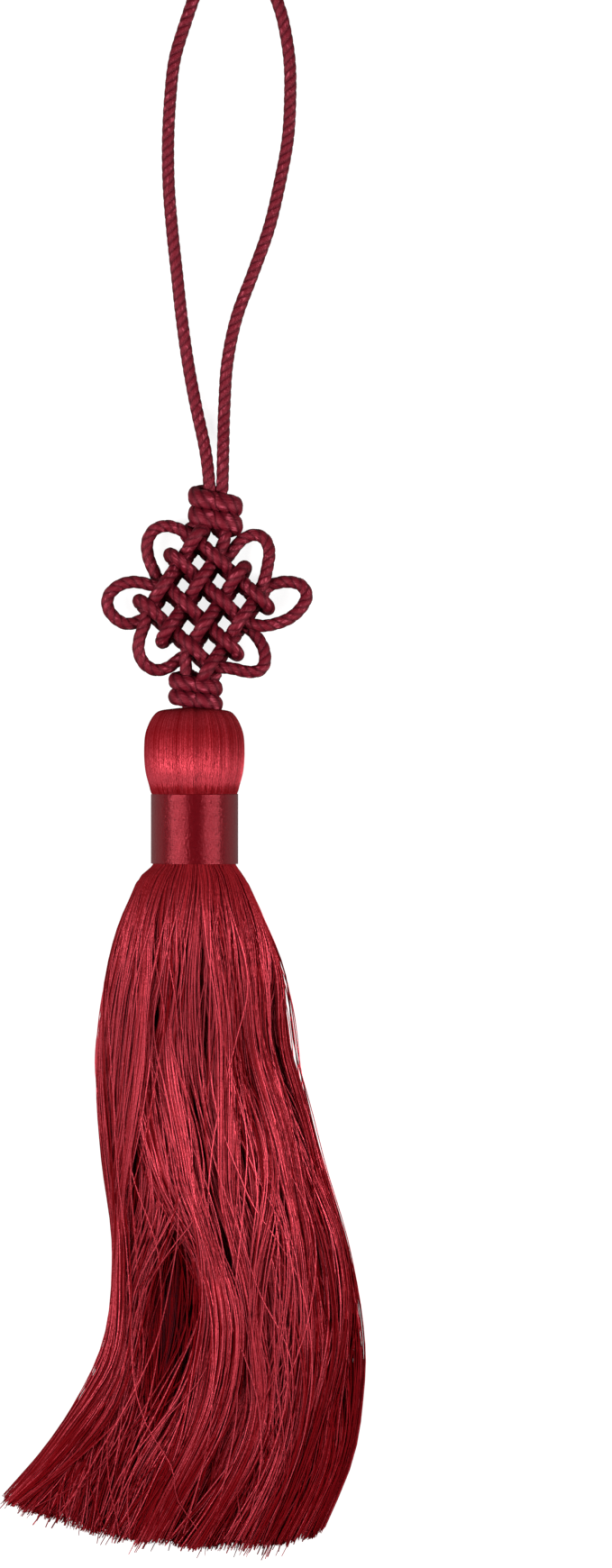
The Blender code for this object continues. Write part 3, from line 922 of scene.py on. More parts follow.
@dataclass
class PanChangKnot(Assembly):
    """The woven knot: two strands, each run going out on one face and back on the other."""
    slot = Slot.CORD
    part = Part.KNOT
    rope: Rope = Rope()
    plane: KnotPlane = KnotPlane()
    runs: int = 4
    layer: float = 2.55 * MM       # depth from one layer of cord to the next
    first_crossing: tuple[float, float, float] = (0.2, 42.5, 0.0)
    along_rows: tuple[float, float, float] = (4.24, -3.92, 0.0)
    along_columns: tuple[float, float, float] = (-3.15, -4.77, 0.0)
    run_spread: float = 0.45 * MM
    bend_reach: float = 3.1 * MM
    bend_squareness: float = 0.8
    bend_steps: int = 5
    step: float = 0.3 * MM

    def crossing(self, column: int, row: int) -> Array:
        """Where a column and a row cross, counted from 1."""
        return MM * (np.array(self.first_crossing) + (column - 1) * np.array(self.along_rows)
                     + (row - 1) * np.array(self.along_columns))

    def depth_at(self, column: int, row: int, is_column: bool) -> float:
        """A strand's distance from the knot's middle plane at a crossing."""
        outside = ((column + row) % 2 == 0) == is_column
        return 1.5 * self.layer if outside else 0.5 * self.layer

    def there_and_back(self, run: Run, first: Face) -> list[Array]:
        """One run: over its four crossings, round the last one and back on the other face.

        Args:
            run: the run.
            first: the face that the first pass lies on.

        Returns:
            The run's points, from the knot's middle plane.
        """
        order = list(range(1, self.runs + 1))
        onward, aside = (np.array(way) / np.linalg.norm(way) for way in (
            (self.along_columns, self.along_rows) if run.is_column
            else (self.along_rows, self.along_columns)))
        if run.from_last:
            order.reverse()
            onward = -onward

        def strand(step: int, side: float) -> Array:
            """The strand's place at one crossing."""
            column, row = (run.number, step) if run.is_column else (step, run.number)
            depth = side * self.depth_at(column, row, run.is_column)
            return self.crossing(column, row) - side * self.run_spread * aside + (0, 0, depth)

        out = [strand(step, first.value) for step in order]
        back = [strand(step, -first.value) for step in reversed(order)]
        middle = (out[-1] + back[0]) / 2
        half = out[-1] - middle
        bend = []
        for step in range(1, self.bend_steps):
            angle = math.pi * step / self.bend_steps
            reach = self.bend_reach * math.sin(angle) ** self.bend_squareness
            turn = math.copysign(abs(math.cos(angle)) ** self.bend_squareness, math.cos(angle))
            bend.append(middle + onward * reach + half * turn)
        return out + bend + back

    @staticmethod
    def eased(points: Route, start: float, end: float) -> list[Array]:
        """Points along an ear or a lead, with the depth eased from start to end.

        Args:
            points: the places, in millimetres.
            start: the depth before the first point.
            end: the depth after the last one.

        Returns:
            The points, from the knot's middle plane.
        """
        count = len(points) + 1
        return [np.array((x * MM, y * MM, start + (end - start) * float(smoothstep(step / count))))
                for step, (x, y) in enumerate(points, 1)]

    def route(self, strand: Strand) -> Array:
        """A strand's middle line.

        Args:
            strand: its way through the knot.

        Returns:
            The line's points.
        """
        near = 0.5 * self.layer * strand.first.value
        points = self.eased(strand.lead_in, 0.0, 0.0) + self.eased(strand.entry, 0.0, near)
        for run, ear in zip(strand.runs, (*strand.ears, ())):
            points += self.there_and_back(run, strand.first) + self.eased(ear, -near, near)
        points += self.eased(strand.exit, -near, 0.0) + self.eased(strand.lead_out, 0.0, 0.0)
        return smooth_route(self.plane.lean(np.array(points)), self.step)

    def shapes(self) -> list[Object]:
        """Make both strands."""
        return [self.rope.along(strand.name, self.route(strand), self.tree, self.material)
                for strand in (RIGHT_STRAND, LEFT_STRAND)]


# --- head and neck ------------------------------------------------------------------------------
HEAD_PROFILE: Route = (   # (y, radius) of the head, in millimetres, from the middle of its top down
    (8.1, 0.0), (8.1, 2.6), (7.9, 4.6), (7.5, 7.2), (6.6, 8.4), (4.9, 9.4), (2.6, 10.15),
    (-0.4, 10.35), (-3.3, 10.25), (-5.4, 9.95), (-7.6, 9.35), (-9.1, 8.95), (-10.4, 8.2),
)


@dataclass
class TasselHead(Assembly):
    """The round head: threads folded down over its top and gathered under the band."""
    slot = Slot.THREAD
    part = Part.TASSEL
    axis_z: float = 9.95 * MM
    thread: float = 0.30 * MM
    threads: int = 540
    stations: int = 40
    segments: int = 72
    step: float = 0.35 * MM
    body_step: int = 4                     # steps of the profile between two rings of the body
    body_inset: float = 0.30 * MM
    clearance: float = 0.02 * MM           # of the lowest threads over the surface
    starts: Point = (0.10, 0.20)           # shares of the profile where the threads start
    spacing: float = 0.3                   # how unevenly they lie, as a share of their spacing
    sunk: Point = (-0.24, -0.14)           # how deep they lie, in millimetres
    wander: float = 0.006
    long_waves: Point = (18, 34)           # radians over the profile
    short_waves: Point = (45, 75)
    short_share: float = 0.8
    tone: Point = (0.19, 0.08)             # the middle tone and its spread
    crown_fade: Ramp = Ramp(0.08, 0.38, 0.10)
    loosening_and_highlight: Ramp = Ramp(1.0, 0.48, 0.40)
    glow: float = 0.50                     # painted highlight: how much lighter the lower, looser part is
    tucked: Ramp = Ramp(0.50, 0.85, 0.07)  # painted shade: how much darker it is where it goes under the band
    seed: int = 5

    def profile(self) -> Array:
        """The head's outline from the middle of its top to the band, evenly stepped."""
        flat = np.column_stack([np.array(HEAD_PROFILE), np.zeros(len(HEAD_PROFILE))]) * MM
        return smooth_route(flat, self.step)[:, :2]

    def place(self, radius: Array, y: Array, angle: Array) -> Array:
        """A point round the head's axis, kept off the surface that it lies on."""
        lowest = self.thread / 2 + self.clearance
        height = np.maximum(self.axis_z + radius * np.sin(angle), lowest)
        return np.column_stack([radius * np.cos(angle), y, height])

    def body(self) -> Object:
        """The smooth body under the threads."""
        angle = np.arange(self.segments) * math.tau / self.segments
        rings = [self.place(np.full(self.segments, max(radius - self.body_inset, 0.2 * MM)),
                            np.full(self.segments, y - 0.1 * MM), angle)
                 for y, radius in self.profile()[self.body_step - 1::self.body_step]]
        return lofted("head_body", rings, self.material)

    def strands(self) -> Object:
        """The threads that cover the head, wavier towards the band, with a painted highlight on their
        lower part and painted shade where they go under the band.
        """
        draws = np.random.default_rng(self.seed)
        profile = self.profile()
        share = np.linspace(0.0, 1.0, self.stations)
        reach = np.linspace(0.0, 1.0, len(profile))
        lines, tones, strands = [], [], []
        for number in range(self.threads):
            start = draws.uniform(*self.starts)
            along = start + (1 - start) * share
            y = np.interp(along, reach, profile[:, 0])
            radius = np.interp(along, reach, profile[:, 1])
            loose = self.loosening_and_highlight.at(along)
            phase = draws.uniform(0, math.tau, 2)
            waves = (np.sin(phase[0] + draws.uniform(*self.long_waves) * along)
                     + self.short_share * np.sin(phase[1] + draws.uniform(*self.short_waves) * along))
            angle = (number + draws.uniform(-self.spacing, self.spacing)) * math.tau / self.threads
            angle = angle + self.wander * loose * waves
            lines.append(self.place(radius + draws.uniform(*self.sunk) * MM, y, angle))
            # Painted highlight on the looser lower part, painted shade where the threads go under the
            # band.
            tone = draws.normal(*self.tone) + self.crown_fade.amount - self.crown_fade.at(along)
            tones.append(np.clip(tone + self.glow * loose - self.tucked.at(along), 0, 1))
            strands.append(np.full(self.stations, draws.uniform()))
        guide = guide_lines("head_guide", lines, tone=tones, strand=strands,
                            girth=[np.ones(self.stations)] * self.threads)
        return self.tree.run("head_threads", guide, self.material, Diameter=self.thread, Sides=3)

    def shapes(self) -> list[Object]:
        """Make the head."""
        return [self.body(), self.strands()]


@dataclass
class NeckBand(Assembly):
    """The satin winding: turns of flat floss, packed side by side round the neck."""
    slot = Slot.SATIN
    part = Part.BAND
    axis_z: float = 9.95 * MM
    radius: float = 8.95 * MM
    inner_radius: float = 7.4 * MM
    top_y: float = -9.4 * MM
    end_y: float = -23.8 * MM
    turns: float = 72.0
    turn_points: int = 72
    floss_width: float = 0.27 * MM
    floss_height: float = 0.04 * MM
    chamfer: float = 0.1 * MM
    segments: int = 96

    def shapes(self) -> list[Object]:
        """Make the winding and the layer under it.

        Returns:
            The pieces.
        """
        outer = self.radius - self.floss_height / 2
        winding = self.tree.run(
            "band_winding", guide_lines("band_guide", [np.zeros((2, 3))]), self.material,
            Radius=outer, Length=self.top_y - self.end_y - self.floss_width, Turns=self.turns,
            Turn_Points=self.turn_points, Floss_Width=self.floss_width,
            Floss_Height=self.floss_height,
            Centre=(0.0, self.top_y - self.floss_width / 2, self.axis_z))
        angle = np.arange(self.segments) * math.tau / self.segments
        section = ((self.inner_radius, self.top_y), (outer, self.top_y - self.chamfer),
                   (outer, self.end_y + self.chamfer), (self.inner_radius, self.end_y))
        rings = [np.column_stack([radius * np.cos(angle), np.full(self.segments, y),
                                  self.axis_z + radius * np.sin(angle)]) for radius, y in section]
        return [winding, lofted("band_underlay", rings, self.material)]


# --- skirt --------------------------------------------------------------------------------------
@dataclass(frozen=True)
class Wave:
    """A sideways drift that gathers the threads into hanks and parts them."""
    amplitude: float
    crests: float
    turn: float


@dataclass(frozen=True)
class Valley:
    """A soft hollow in the top of the skirt between two heavier hanks of thread, where painted shade
    darkens the threads.
    """
    across: float
    share: float
    half_width: float
    half_length: float
    depth: float
    shade: float = 0.0      # painted shade: how much darker its threads are

    def strength(self, across: Array, share: Array) -> Array:
        """How much of the hollow is felt at a place, from 0 to 1."""
        spread = ((across - self.across) / self.half_width) ** 2
        return np.exp(-spread - ((share - self.share) / self.half_length) ** 2)


@dataclass(frozen=True)
class Parting:
    """A place where the upper threads part, so that the darker ones under them show."""
    across: float
    apex: float             # where it starts to open, as a share of the skirt's length
    opening: float          # the share over which it opens
    closing: float          # the share over which it closes again
    half_width: float
    push: float
    bias: float = 0.0       # how much further the threads on the right are pushed than on the left
    healing: float = 0.0    # how far up the threads lie that close over it again lower down
    raggedness: float = 0.25
    rag_rate: float = 110.0
    healing_length: float = 0.25
    lowest: float = 0.1     # threads lower in the bundle than this aren't pushed
    thickness: float = 0.6  # from there to where they are pushed in full

    def part(self, across: Array, upright: Array, share: Array) -> Array:
        """Push each thread to its own side.

        Args:
            across: the threads' places across the skirt, one row for each thread.
            upright: their heights in the bundle.
            share: their shares of the skirt's length.

        Returns:
            Their new places across the skirt.
        """
        widest = self.apex + self.opening
        station = np.argmin(np.abs(share - widest), axis=1)
        own = across[np.arange(len(across)), station]
        side = np.where(own < self.across, -1.0, 1.0)[:, None]
        off = (across - self.across) / self.half_width
        gape = (smoothstep((share - self.apex) / self.opening)
                * (1 - smoothstep((share - widest) / self.closing)))
        uneven = 1 + self.raggedness * np.sin(self.rag_rate * own)[:, None]
        push = side * self.push * (1 + self.bias * side) * uneven
        healed = Ramp(self.healing, widest, self.healing_length).at(share)
        high = smoothstep((upright - self.lowest - healed) / self.thickness)
        return across + push * np.exp(-off ** 2) * gape * high


@dataclass(frozen=True)
class Veil:
    """A stretch of one edge where the mass draws in and a few lone threads hang clear of it."""
    side: int
    share: float
    half_length: float
    depth: float
    threads: int
    edge: Ramp = Ramp(1.0, 0.3, 0.65)      # how much places across the skirt are drawn in

    def drawn_in(self, across: Array, share: Array) -> Array:
        """Draw the mass in from the edge.

        Args:
            across: the threads' places across the skirt, one row for each thread.
            share: their shares of the skirt's length.

        Returns:
            Their new places across the skirt.
        """
        width = self.depth * np.exp(-((share - self.share) / self.half_length) ** 2)
        return across - self.side * width * self.edge.at(self.side * across)


SKIRT_SECTIONS: tuple[tuple[float, Point, Point, Point, float], ...] = (
    # share of the length, left, middle and right points in millimetres, and height
    (0.000, (-8.6, -24.1), (0.0, -24.1), (8.6, -24.1), 15.8),
    (0.012, (-10.6, -25.7), (0.0, -25.8), (9.9, -25.7), 15.9),
    (0.05, (-13.5, -30.7), (-0.4, -31.4), (12.6, -30.7), 15.6),
    (0.15, (-18.3, -45.0), (-0.9, -47.2), (18.7, -45.0), 14.6),
    (0.29, (-20.7, -65.1), (-0.6, -66.6), (22.2, -65.1), 13.2),
    (0.43, (-19.2, -84.0), (1.9, -87.0), (26.3, -84.0), 12.4),
    (0.57, (-16.9, -102.5), (4.4, -105.5), (31.8, -102.5), 11.4),
    (0.68, (-17.8, -118.0), (4.8, -122.3), (34.2, -118.0), 10.4),
    (0.81, (-23.7, -133.2), (2.9, -139.4), (33.8, -133.2), 9.0),
    (0.92, (-32.8, -147.1), (-2.2, -153.8), (31.0, -148.4), 7.4),
    (1.00, (-39.4, -155.0), (-6.6, -163.8), (25.4, -162.0), 5.6),
)


@dataclass(frozen=True)
class Bundle:
    """The room that the skirt's threads fill, round at the neck and low and wide at its end."""
    axis_z: float = 9.95 * MM
    root_radius: float = 8.3 * MM
    settling: Ramp = Ramp(1.0, 0.0, 0.3)    # from the round neck down to the surface
    edge_height: float = 0.3
    wave_swing: float = 3.0
    lowest: float = 0.30 * MM          # the middle of the lowest threads, which rest on the table
    waves: tuple[Wave, ...] = (Wave(0.040, 2.4, 0.8), Wave(0.018, 5.3, 2.4))
    # Some hollows have no depth and only paint shade on their threads.
    valleys: tuple[Valley, ...] = (
        Valley(-0.32, 0.24, 0.10, 0.14, 0.16), Valley(0.14, 0.22, 0.09, 0.12, 0.14),
        Valley(0.52, 0.34, 0.10, 0.16, 0.12, 0.15), Valley(-0.40, 0.66, 0.30, 0.10, 0.28, 0.55),
        Valley(0.00, 0.34, 0.10, 0.06, 0.10, 0.25), Valley(0.50, 0.30, 0.10, 0.06, 0.10, 0.25),
        Valley(0.35, 0.78, 0.12, 0.18, 0.14), Valley(-0.80, 0.52, 0.24, 0.13, 0.05, 0.22),
        Valley(-0.75, 0.90, 0.35, 0.09, 0.0, 0.22), Valley(0.95, 0.72, 0.30, 0.22, 0.0, 0.35),
        Valley(0.10, 0.92, 0.30, 0.06, 0.0, 0.12),
    )

    def height(self, crown: Array) -> Array:
        """The bundle's height as a share of that at its middle."""
        return self.edge_height + (1 - self.edge_height) * crown

    def section(self, share: Array) -> Array:
        """The skirt's left, middle and right points and its height, in columns.

        Args:
            share: shares of the skirt's length.

        Returns:
            Seven numbers for each share, in millimetres.
        """
        rows = np.array([(at, *left, *middle, *right, height)
                         for at, left, middle, right, height in SKIRT_SECTIONS])
        at, values = rows[:, 0], rows[:, 1:]
        slopes = np.gradient(values, at, axis=0)
        index = np.clip(np.searchsorted(at, share, side="right") - 1, 0, len(at) - 2)
        width = (at[index + 1] - at[index])[:, None]
        t = np.clip((share - at[index])[:, None] / width, 0.0, 1.0)
        inside = (values[index] * (2 * t ** 3 - 3 * t ** 2 + 1)
                  + width * slopes[index] * (t ** 3 - 2 * t ** 2 + t)
                  + values[index + 1] * (3 * t ** 2 - 2 * t ** 3)
                  + width * slopes[index + 1] * (t ** 3 - t ** 2))
        return inside + slopes[-1] * np.maximum(share - 1.0, 0.0)[:, None]

    def point(self, across: Array, upright: Array, share: Array, loft: Array) -> Array:
        """Where threads lie.

        Args:
            across: from -1 at the skirt's left edge to 1 at its right.
            upright: from -1 at the underside to 1 at the top.
            share: shares of the skirt's length.
            loft: how much higher than usual the threads lie, as a factor.

        Returns:
            One point for each, in metres.
        """
        sides = self.section(share)
        chord = np.sqrt(np.maximum(1 - across * across, 0.0))
        held = self.axis_z + self.root_radius * chord * upright
        drift = sum(wave.amplitude * np.sin(math.pi * wave.crests * across + wave.turn
                                            + self.wave_swing * share) for wave in self.waves)
        across = across + drift * share * chord * chord
        left, middle, right = sides[:, 0:2], sides[:, 2:4], sides[:, 4:6]
        a = across[:, None]
        place = left * (a * (a - 1) / 2) + middle * (1 - a * a) + right * (a * (a + 1) / 2)
        arch = sides[:, 6] * self.height(np.sqrt(np.maximum(1 - across * across, 0.0)))
        for valley in self.valleys:
            arch = arch * (1 - valley.depth * valley.strength(across, share))
        lying = loft * arch * MM * (upright + 1) / 2
        height = held + (lying - held) * self.settling.at(share)
        return np.column_stack([place * MM, np.maximum(height, self.lowest)])


@dataclass(frozen=True)
class Layer:
    """One piece of the skirt: the threads between two heights in the bundle."""
    name: str
    lowest: float
    highest: float
    threads: int
    stations: int
    swing: float            # how freely its hanks wander, as a factor
    girth: float = 1.0      # how thick its threads are, as a factor: deep down they lie in clumps


class Hanks:
    """The hanks that the threads gather in: each one's own path, drawn once for every layer."""

    def __init__(self, count: int, seed: int) -> None:
        """Draw the hanks.

        Args:
            count: how many.
            seed: the seed of their random numbers.
        """
        draws = np.random.default_rng(seed)
        self.across = draws.uniform(-1, 1, count)
        self.upright = draws.uniform(-1, 1, count)
        self.drift = draws.normal(0, 0.14, count)
        self.sway = draws.uniform(0.04, 0.20, count)
        self.phase = draws.uniform(0, math.tau, count)
        self.rate = draws.uniform(6.0, 12.0, count)
        self.gather = draws.uniform(0.1, 0.45, count)
        self.start = draws.uniform(0.0, 0.25, count)
        self.end = draws.uniform(0.5, 1.15, count)
        self.twist = draws.normal(0, 2.2, count)
        self.loft = draws.uniform(0.03, 0.11, count)
        self.tone = draws.normal(0, 0.14, count)
        self.cut = draws.uniform(-0.009, 0.009, count)

    def nearest(self, across: Array, upright: Array, flatness: float) -> Array:
        """The number of the hank that each thread belongs to."""
        return np.argmin((across[:, None] - self.across) ** 2
                         + (flatness * (upright[:, None] - self.upright)) ** 2, axis=1)


@dataclass(frozen=True)
class Wander:
    """Each thread's own slow wave from side to side."""
    spread: float
    rate: Point             # radians over the skirt's length
    common: float = 1.0     # the share of the threads that wander

    def draw(self, draws: np.random.Generator, share: Array) -> Array:
        """Draw the waves.

        Args:
            draws: random numbers.
            share: shares of the skirt's length, one row for each thread.

        Returns:
            How far each thread lies aside.
        """
        size = (len(share), 1)
        some = draws.random(size) < self.common if self.common < 1 else True
        width = np.where(some, draws.normal(0, self.spread, size), 0.0)
        return width * np.sin(draws.uniform(0, math.tau, size) + draws.uniform(*self.rate, size) * share)


STRAY_THREADS: tuple[Route, ...] = (
    # (share of the length, place across) of single threads that cross the others on top
    ((0.0, 0.50), (0.14, 0.62), (0.25, 0.44), (0.40, 0.10), (0.55, -0.06), (0.75, 0.02),
     (0.98, 0.12)),
    ((0.0, -0.30), (0.30, -0.52), (0.44, -0.42), (0.70, 0.22), (0.84, 0.40), (0.98, 0.46)),
    ((0.0, -0.62), (0.50, -0.86), (0.74, -0.66), (0.86, -0.26), (0.985, 0.24)),
    ((0.0, 0.12), (0.22, 0.30), (0.38, 0.44), (0.60, 0.16), (0.80, 0.20), (0.99, 0.30)),
    ((0.0, -0.12), (0.20, -0.36), (0.34, -0.24), (0.52, -0.30), (0.78, -0.62), (0.99, -0.66)),
    ((0.0, 0.30), (0.30, 0.18), (0.46, 0.36), (0.62, 0.62), (0.82, 0.66), (0.97, 0.60)),
    ((0.0, 0.05), (0.18, -0.10), (0.36, 0.06), (0.58, 0.30), (0.72, 0.52), (0.99, 0.50)),
    ((0.0, -0.48), (0.24, -0.66), (0.42, -0.70), (0.58, -0.50), (0.80, -0.48), (0.99, -0.40)),
)


@dataclass(frozen=True)
class PaintedShade:
    """Painted shade on the threads' tones by their place, along the skirt and down into it: darker
    towards the ends, at the roots, in the hollows and deep down.
    """
    end: Ramp = Ramp(0.30, 0.66, 0.30)          # painted shade, darker towards the ends
    root: Ramp = Ramp(1.0, 0.01, 0.12)          # from the painted shade at the roots to the threads' own tone
    root_shade_tone: float = 0.20
    surface: Ramp = Ramp(1.0, 0.05, 0.75)       # from buried to fully lit, over the height
    edge_slope: float = 2.2                     # the edges are lit too, though they lie low
    edge_drop: float = 1.2
    buried: float = 0.60                        # painted shade: how much darker the buried threads are
    thinning: Ramp = Ramp(0.6, 0.74, 0.12)      # and how much less so near the thin end

    def on(self, tone: Array, across: Array, upright: Array, share: Array,
           valleys: tuple[Valley, ...]) -> Array:
        """Paint shade into tones by their place.

        Args:
            tone: each thread's own tone.
            across: places across the skirt, one row for each thread.
            upright: heights in the bundle.
            share: shares of the skirt's length.
            valleys: the hollows, with painted shade.

        Returns:
            The tones, from -1 to 1.
        """
        tone = tone - self.end.at(share)
        tone = tone - sum(valley.shade * valley.strength(across, share) for valley in valleys)
        surface = np.maximum(upright, self.edge_slope * np.abs(across) - self.edge_drop)
        buried = self.buried * (1 - self.surface.at(surface))
        tone = tone - buried * (1 - self.thinning.at(share))
        rooted = 1 - self.root.at(share)
        return np.clip(tone + rooted * (self.root_shade_tone - tone), -1, 1)


@dataclass
class Skirt(Assembly):
    """The skirt of loose threads, gathered in hanks that drift, part and cross."""
    slot = Slot.THREAD
    part = Part.TASSEL
    bundle: Bundle = Bundle()
    shade: PaintedShade = PaintedShade()
    thread: float = 0.30 * MM
    girths: Point = (0.75, 1.15)       # how thick the threads are, as factors
    root_girth: float = 1.3
    slimming: Ramp = Ramp(0.3, 0.0, 0.12)
    tapering: Ramp = Ramp(0.30, 0.97, 0.03)
    root_density: float = 1.15         # over 1, the stations lie closer together near the root
    hidden_root: float = 1.6 * MM      # how far the roots reach up inside the neck band
    hank_count: int = 130
    flatness: float = 0.35
    tightening: float = 0.5            # how much a gathered hank thins, as a share of its narrowing
    ripening: Ramp = Ramp(1.0, 0.0, 0.16)      # from the neat roots to the free threads
    edge_freedom: float = 0.12         # how freely the threads at the edges wander, against the middle
    wanders: tuple[Wander, ...] = (Wander(0.012, (8, 20)), Wander(0.105, (4, 10), 0.6))
    loft_rate: float = 0.8
    loft_turn: float = 1.0
    rim: float = 0.80                  # past this the places are eased, so that none goes far past 1
    rim_reach: float = 1.12
    fuzz: float = 0.015                # how unevenly the threads lie beside each other
    fuzzing: Ramp = Ramp(1.0, 0.0, 0.2)
    usual_cut: float = 0.996
    cut_spread: float = 0.0028
    uncut: float = 0.03                # the share of the threads that the scissors missed
    uncut_length: Point = (0.006, 0.022)
    tone: Point = (0.54, 0.26)         # the middle tone and its spread
    dimmest: float = 0.05
    seed: int = 21
    layers: tuple[Layer, ...] = (
        Layer("skirt_under_threads", -1.0, -0.45, 900, 22, 0.15, 1.7),
        Layer("skirt_inner_threads", -0.45, 0.2, 780, 24, 0.45, 1.35),
        Layer("skirt_upper_threads", 0.2, 0.7, 880, 34, 0.9),
        Layer("skirt_top_threads", 0.7, 1.0, 800, 40, 1.0),
    )
    partings: tuple[Parting, ...] = (
        Parting(-0.33, 0.14, 0.06, 0.10, 0.12, 0.040), Parting(0.17, 0.12, 0.08, 0.12, 0.13, 0.018),
        Parting(-0.46, 0.42, 0.24, 1.00, 0.56, 0.285, 0.12, 0.28, 0.45),
    )
    veils: tuple[Veil, ...] = (Veil(1, 0.24, 0.11, 0.14, 8), Veil(-1, 0.74, 0.10, 0.07, 6),
                               Veil(-1, 0.28, 0.12, 0.04, 4))
    stray_stations: int = 60
    stray_lift: float = 1.03           # how high the lone threads on top lie: 1 is with the others
    stray_cuts: Point = (0.97, 1.0)
    stray_bases: Point = (0.80, 0.97)  # where the veils' threads lie above and below the veil
    stray_heights: Point = (-0.6, 0.7)
    stray_tones: Point = (0.75, 1.0)
    veil_fill: float = 0.95            # how much of the veil's depth its threads are spread over
    veil_reach: float = 1.15           # how much longer their swing is than the veil

    def __post_init__(self) -> None:
        """Draw the hanks."""
        self.hanks = Hanks(self.hank_count, self.seed)

    def shares(self, cut: Array, stations: int) -> Array:
        """The stations of threads of the given lengths, one row for each thread."""
        return np.linspace(0.0, 1.0, stations)[None, :] ** self.root_density * cut[:, None]

    def eased(self, place: Array) -> Array:
        """Ease places towards the rim, so that none passes it."""
        room = 1.0 - self.rim
        past = np.abs(place) - self.rim
        inner = np.sign(place) * (self.rim + self.rim_reach * room * np.tanh(past / room))
        return np.where(past > 0, inner, place)

    def spread(self, draws: np.random.Generator, count: int, evenness: float) -> Array:
        """Places across the bundle, fewer towards its thin edges.

        Args:
            draws: random numbers.
            count: how many places.
            evenness: from 0 for chance alone to 1 for even steps.

        Returns:
            The places.
        """
        grid = np.linspace(-1, 1, 401)
        weight = np.cumsum(self.bundle.height(np.sqrt(np.maximum(1 - grid * grid, 0))))
        chance = draws.random(count)
        even = (np.argsort(np.argsort(chance)) + 0.5) / count
        place = chance + (even - chance) * evenness
        return np.interp(place, (weight - weight[0]) / (weight[-1] - weight[0]), grid)

    def gathered(self, layer: Layer, draws: np.random.Generator) -> tuple[Array, ...]:
        """The places of one layer's threads, gathered in their hanks.

        Args:
            layer: the layer.
            draws: its random numbers.

        Returns:
            Across, upright, share, loft and tone, with one row for each thread.
        """
        hanks, count = self.hanks, layer.threads
        root = self.spread(draws, count, 1 - layer.swing)[:, None]
        height = draws.uniform(layer.lowest, layer.highest, (count, 1))
        mine = hanks.nearest(root[:, 0], height[:, 0], self.flatness)

        def of_hank(values: Array) -> Array:
            """Each thread's value from its hank, in a column."""
            return values[mine][:, None]

        cut = self.usual_cut + hanks.cut[mine] + draws.normal(0, self.cut_spread, count)
        missed = draws.random(count) < self.uncut
        cut = cut + np.where(missed, draws.uniform(*self.uncut_length, count), 0.0)
        share = self.shares(cut, layer.stations)
        ripe = self.ripening.at(share)
        span = (share - of_hank(hanks.start)) / of_hank(hanks.end - hanks.start)
        tight = np.sin(math.pi * np.clip(span, 0, 1)) ** 2 * of_hank(hanks.gather) * layer.swing
        turn = of_hank(hanks.twist) * share * ripe * layer.swing
        aside = root - of_hank(hanks.across)
        above = self.flatness * (height - of_hank(hanks.upright))
        across = of_hank(hanks.across) + (1 - tight) * (aside * np.cos(turn) - above * np.sin(turn))
        rise = (1 - self.tightening * tight) * (aside * np.sin(turn) + above * np.cos(turn))
        swing = of_hank(hanks.phase) + of_hank(hanks.rate) * share
        sway = of_hank(hanks.drift) * share + of_hank(hanks.sway) * np.sin(swing)
        own = sum(wander.draw(draws, share) for wander in self.wanders)
        freedom = self.edge_freedom + (1 - self.edge_freedom) * np.sqrt(np.maximum(1 - root ** 2, 0))
        loft = 1 + of_hank(hanks.loft) * np.sin(swing * self.loft_rate + self.loft_turn) * ripe
        tone = draws.normal(*self.tone, (count, 1)) + of_hank(hanks.tone)
        return (across + ripe * freedom * layer.swing * (sway + own),
                of_hank(hanks.upright) + rise / self.flatness,
                share, loft, np.clip(tone, self.dimmest, 1.0))

    def guides(self, layer: Layer, draws: np.random.Generator) -> tuple[Array, Array, Array]:
        """The guide lines of one layer's threads.

        Args:
            layer: the layer.
            draws: its random numbers.

        Returns:
            The threads' points, tones and shares, with one row for each thread.
        """
        across, upright, share, loft, tone = self.gathered(layer, draws)
        for parting in self.partings:
            across = parting.part(across, upright, share)
        for veil in self.veils:
            across = veil.drawn_in(across, share)
        fuzz = draws.normal(0, self.fuzz, (len(share), 1)) * self.fuzzing.at(share)
        return self.placed(self.eased(across) + fuzz, self.eased(upright), share, loft, tone)

    def placed(self, across: Array, upright: Array, share: Array, loft: Array,
               tone: Array) -> tuple[Array, Array, Array]:
        """Set threads at their real places, with painted shade added to their tones by where they lie.

        Args:
            across: places across the skirt, one row for each thread.
            upright: heights in the bundle.
            share: shares of the skirt's length.
            loft: how much higher than usual they lie.
            tone: each thread's own tone.

        Returns:
            The threads' points, tones and shares, with their hidden roots added.
        """
        loft = np.broadcast_to(loft, share.shape)
        points = self.bundle.point(across.ravel(), upright.ravel(), share.ravel(), loft.ravel())
        points = points.reshape(*share.shape, 3)
        # Painted shade on the tones.
        tone = self.shade.on(tone, across, upright, share, self.bundle.valleys)
        hidden = points[:, :1] + (0.0, self.hidden_root, 0.0)
        return (np.concatenate([hidden, points], axis=1),
                np.concatenate([tone[:, :1], tone], axis=1),
                np.concatenate([share[:, :1], share], axis=1))

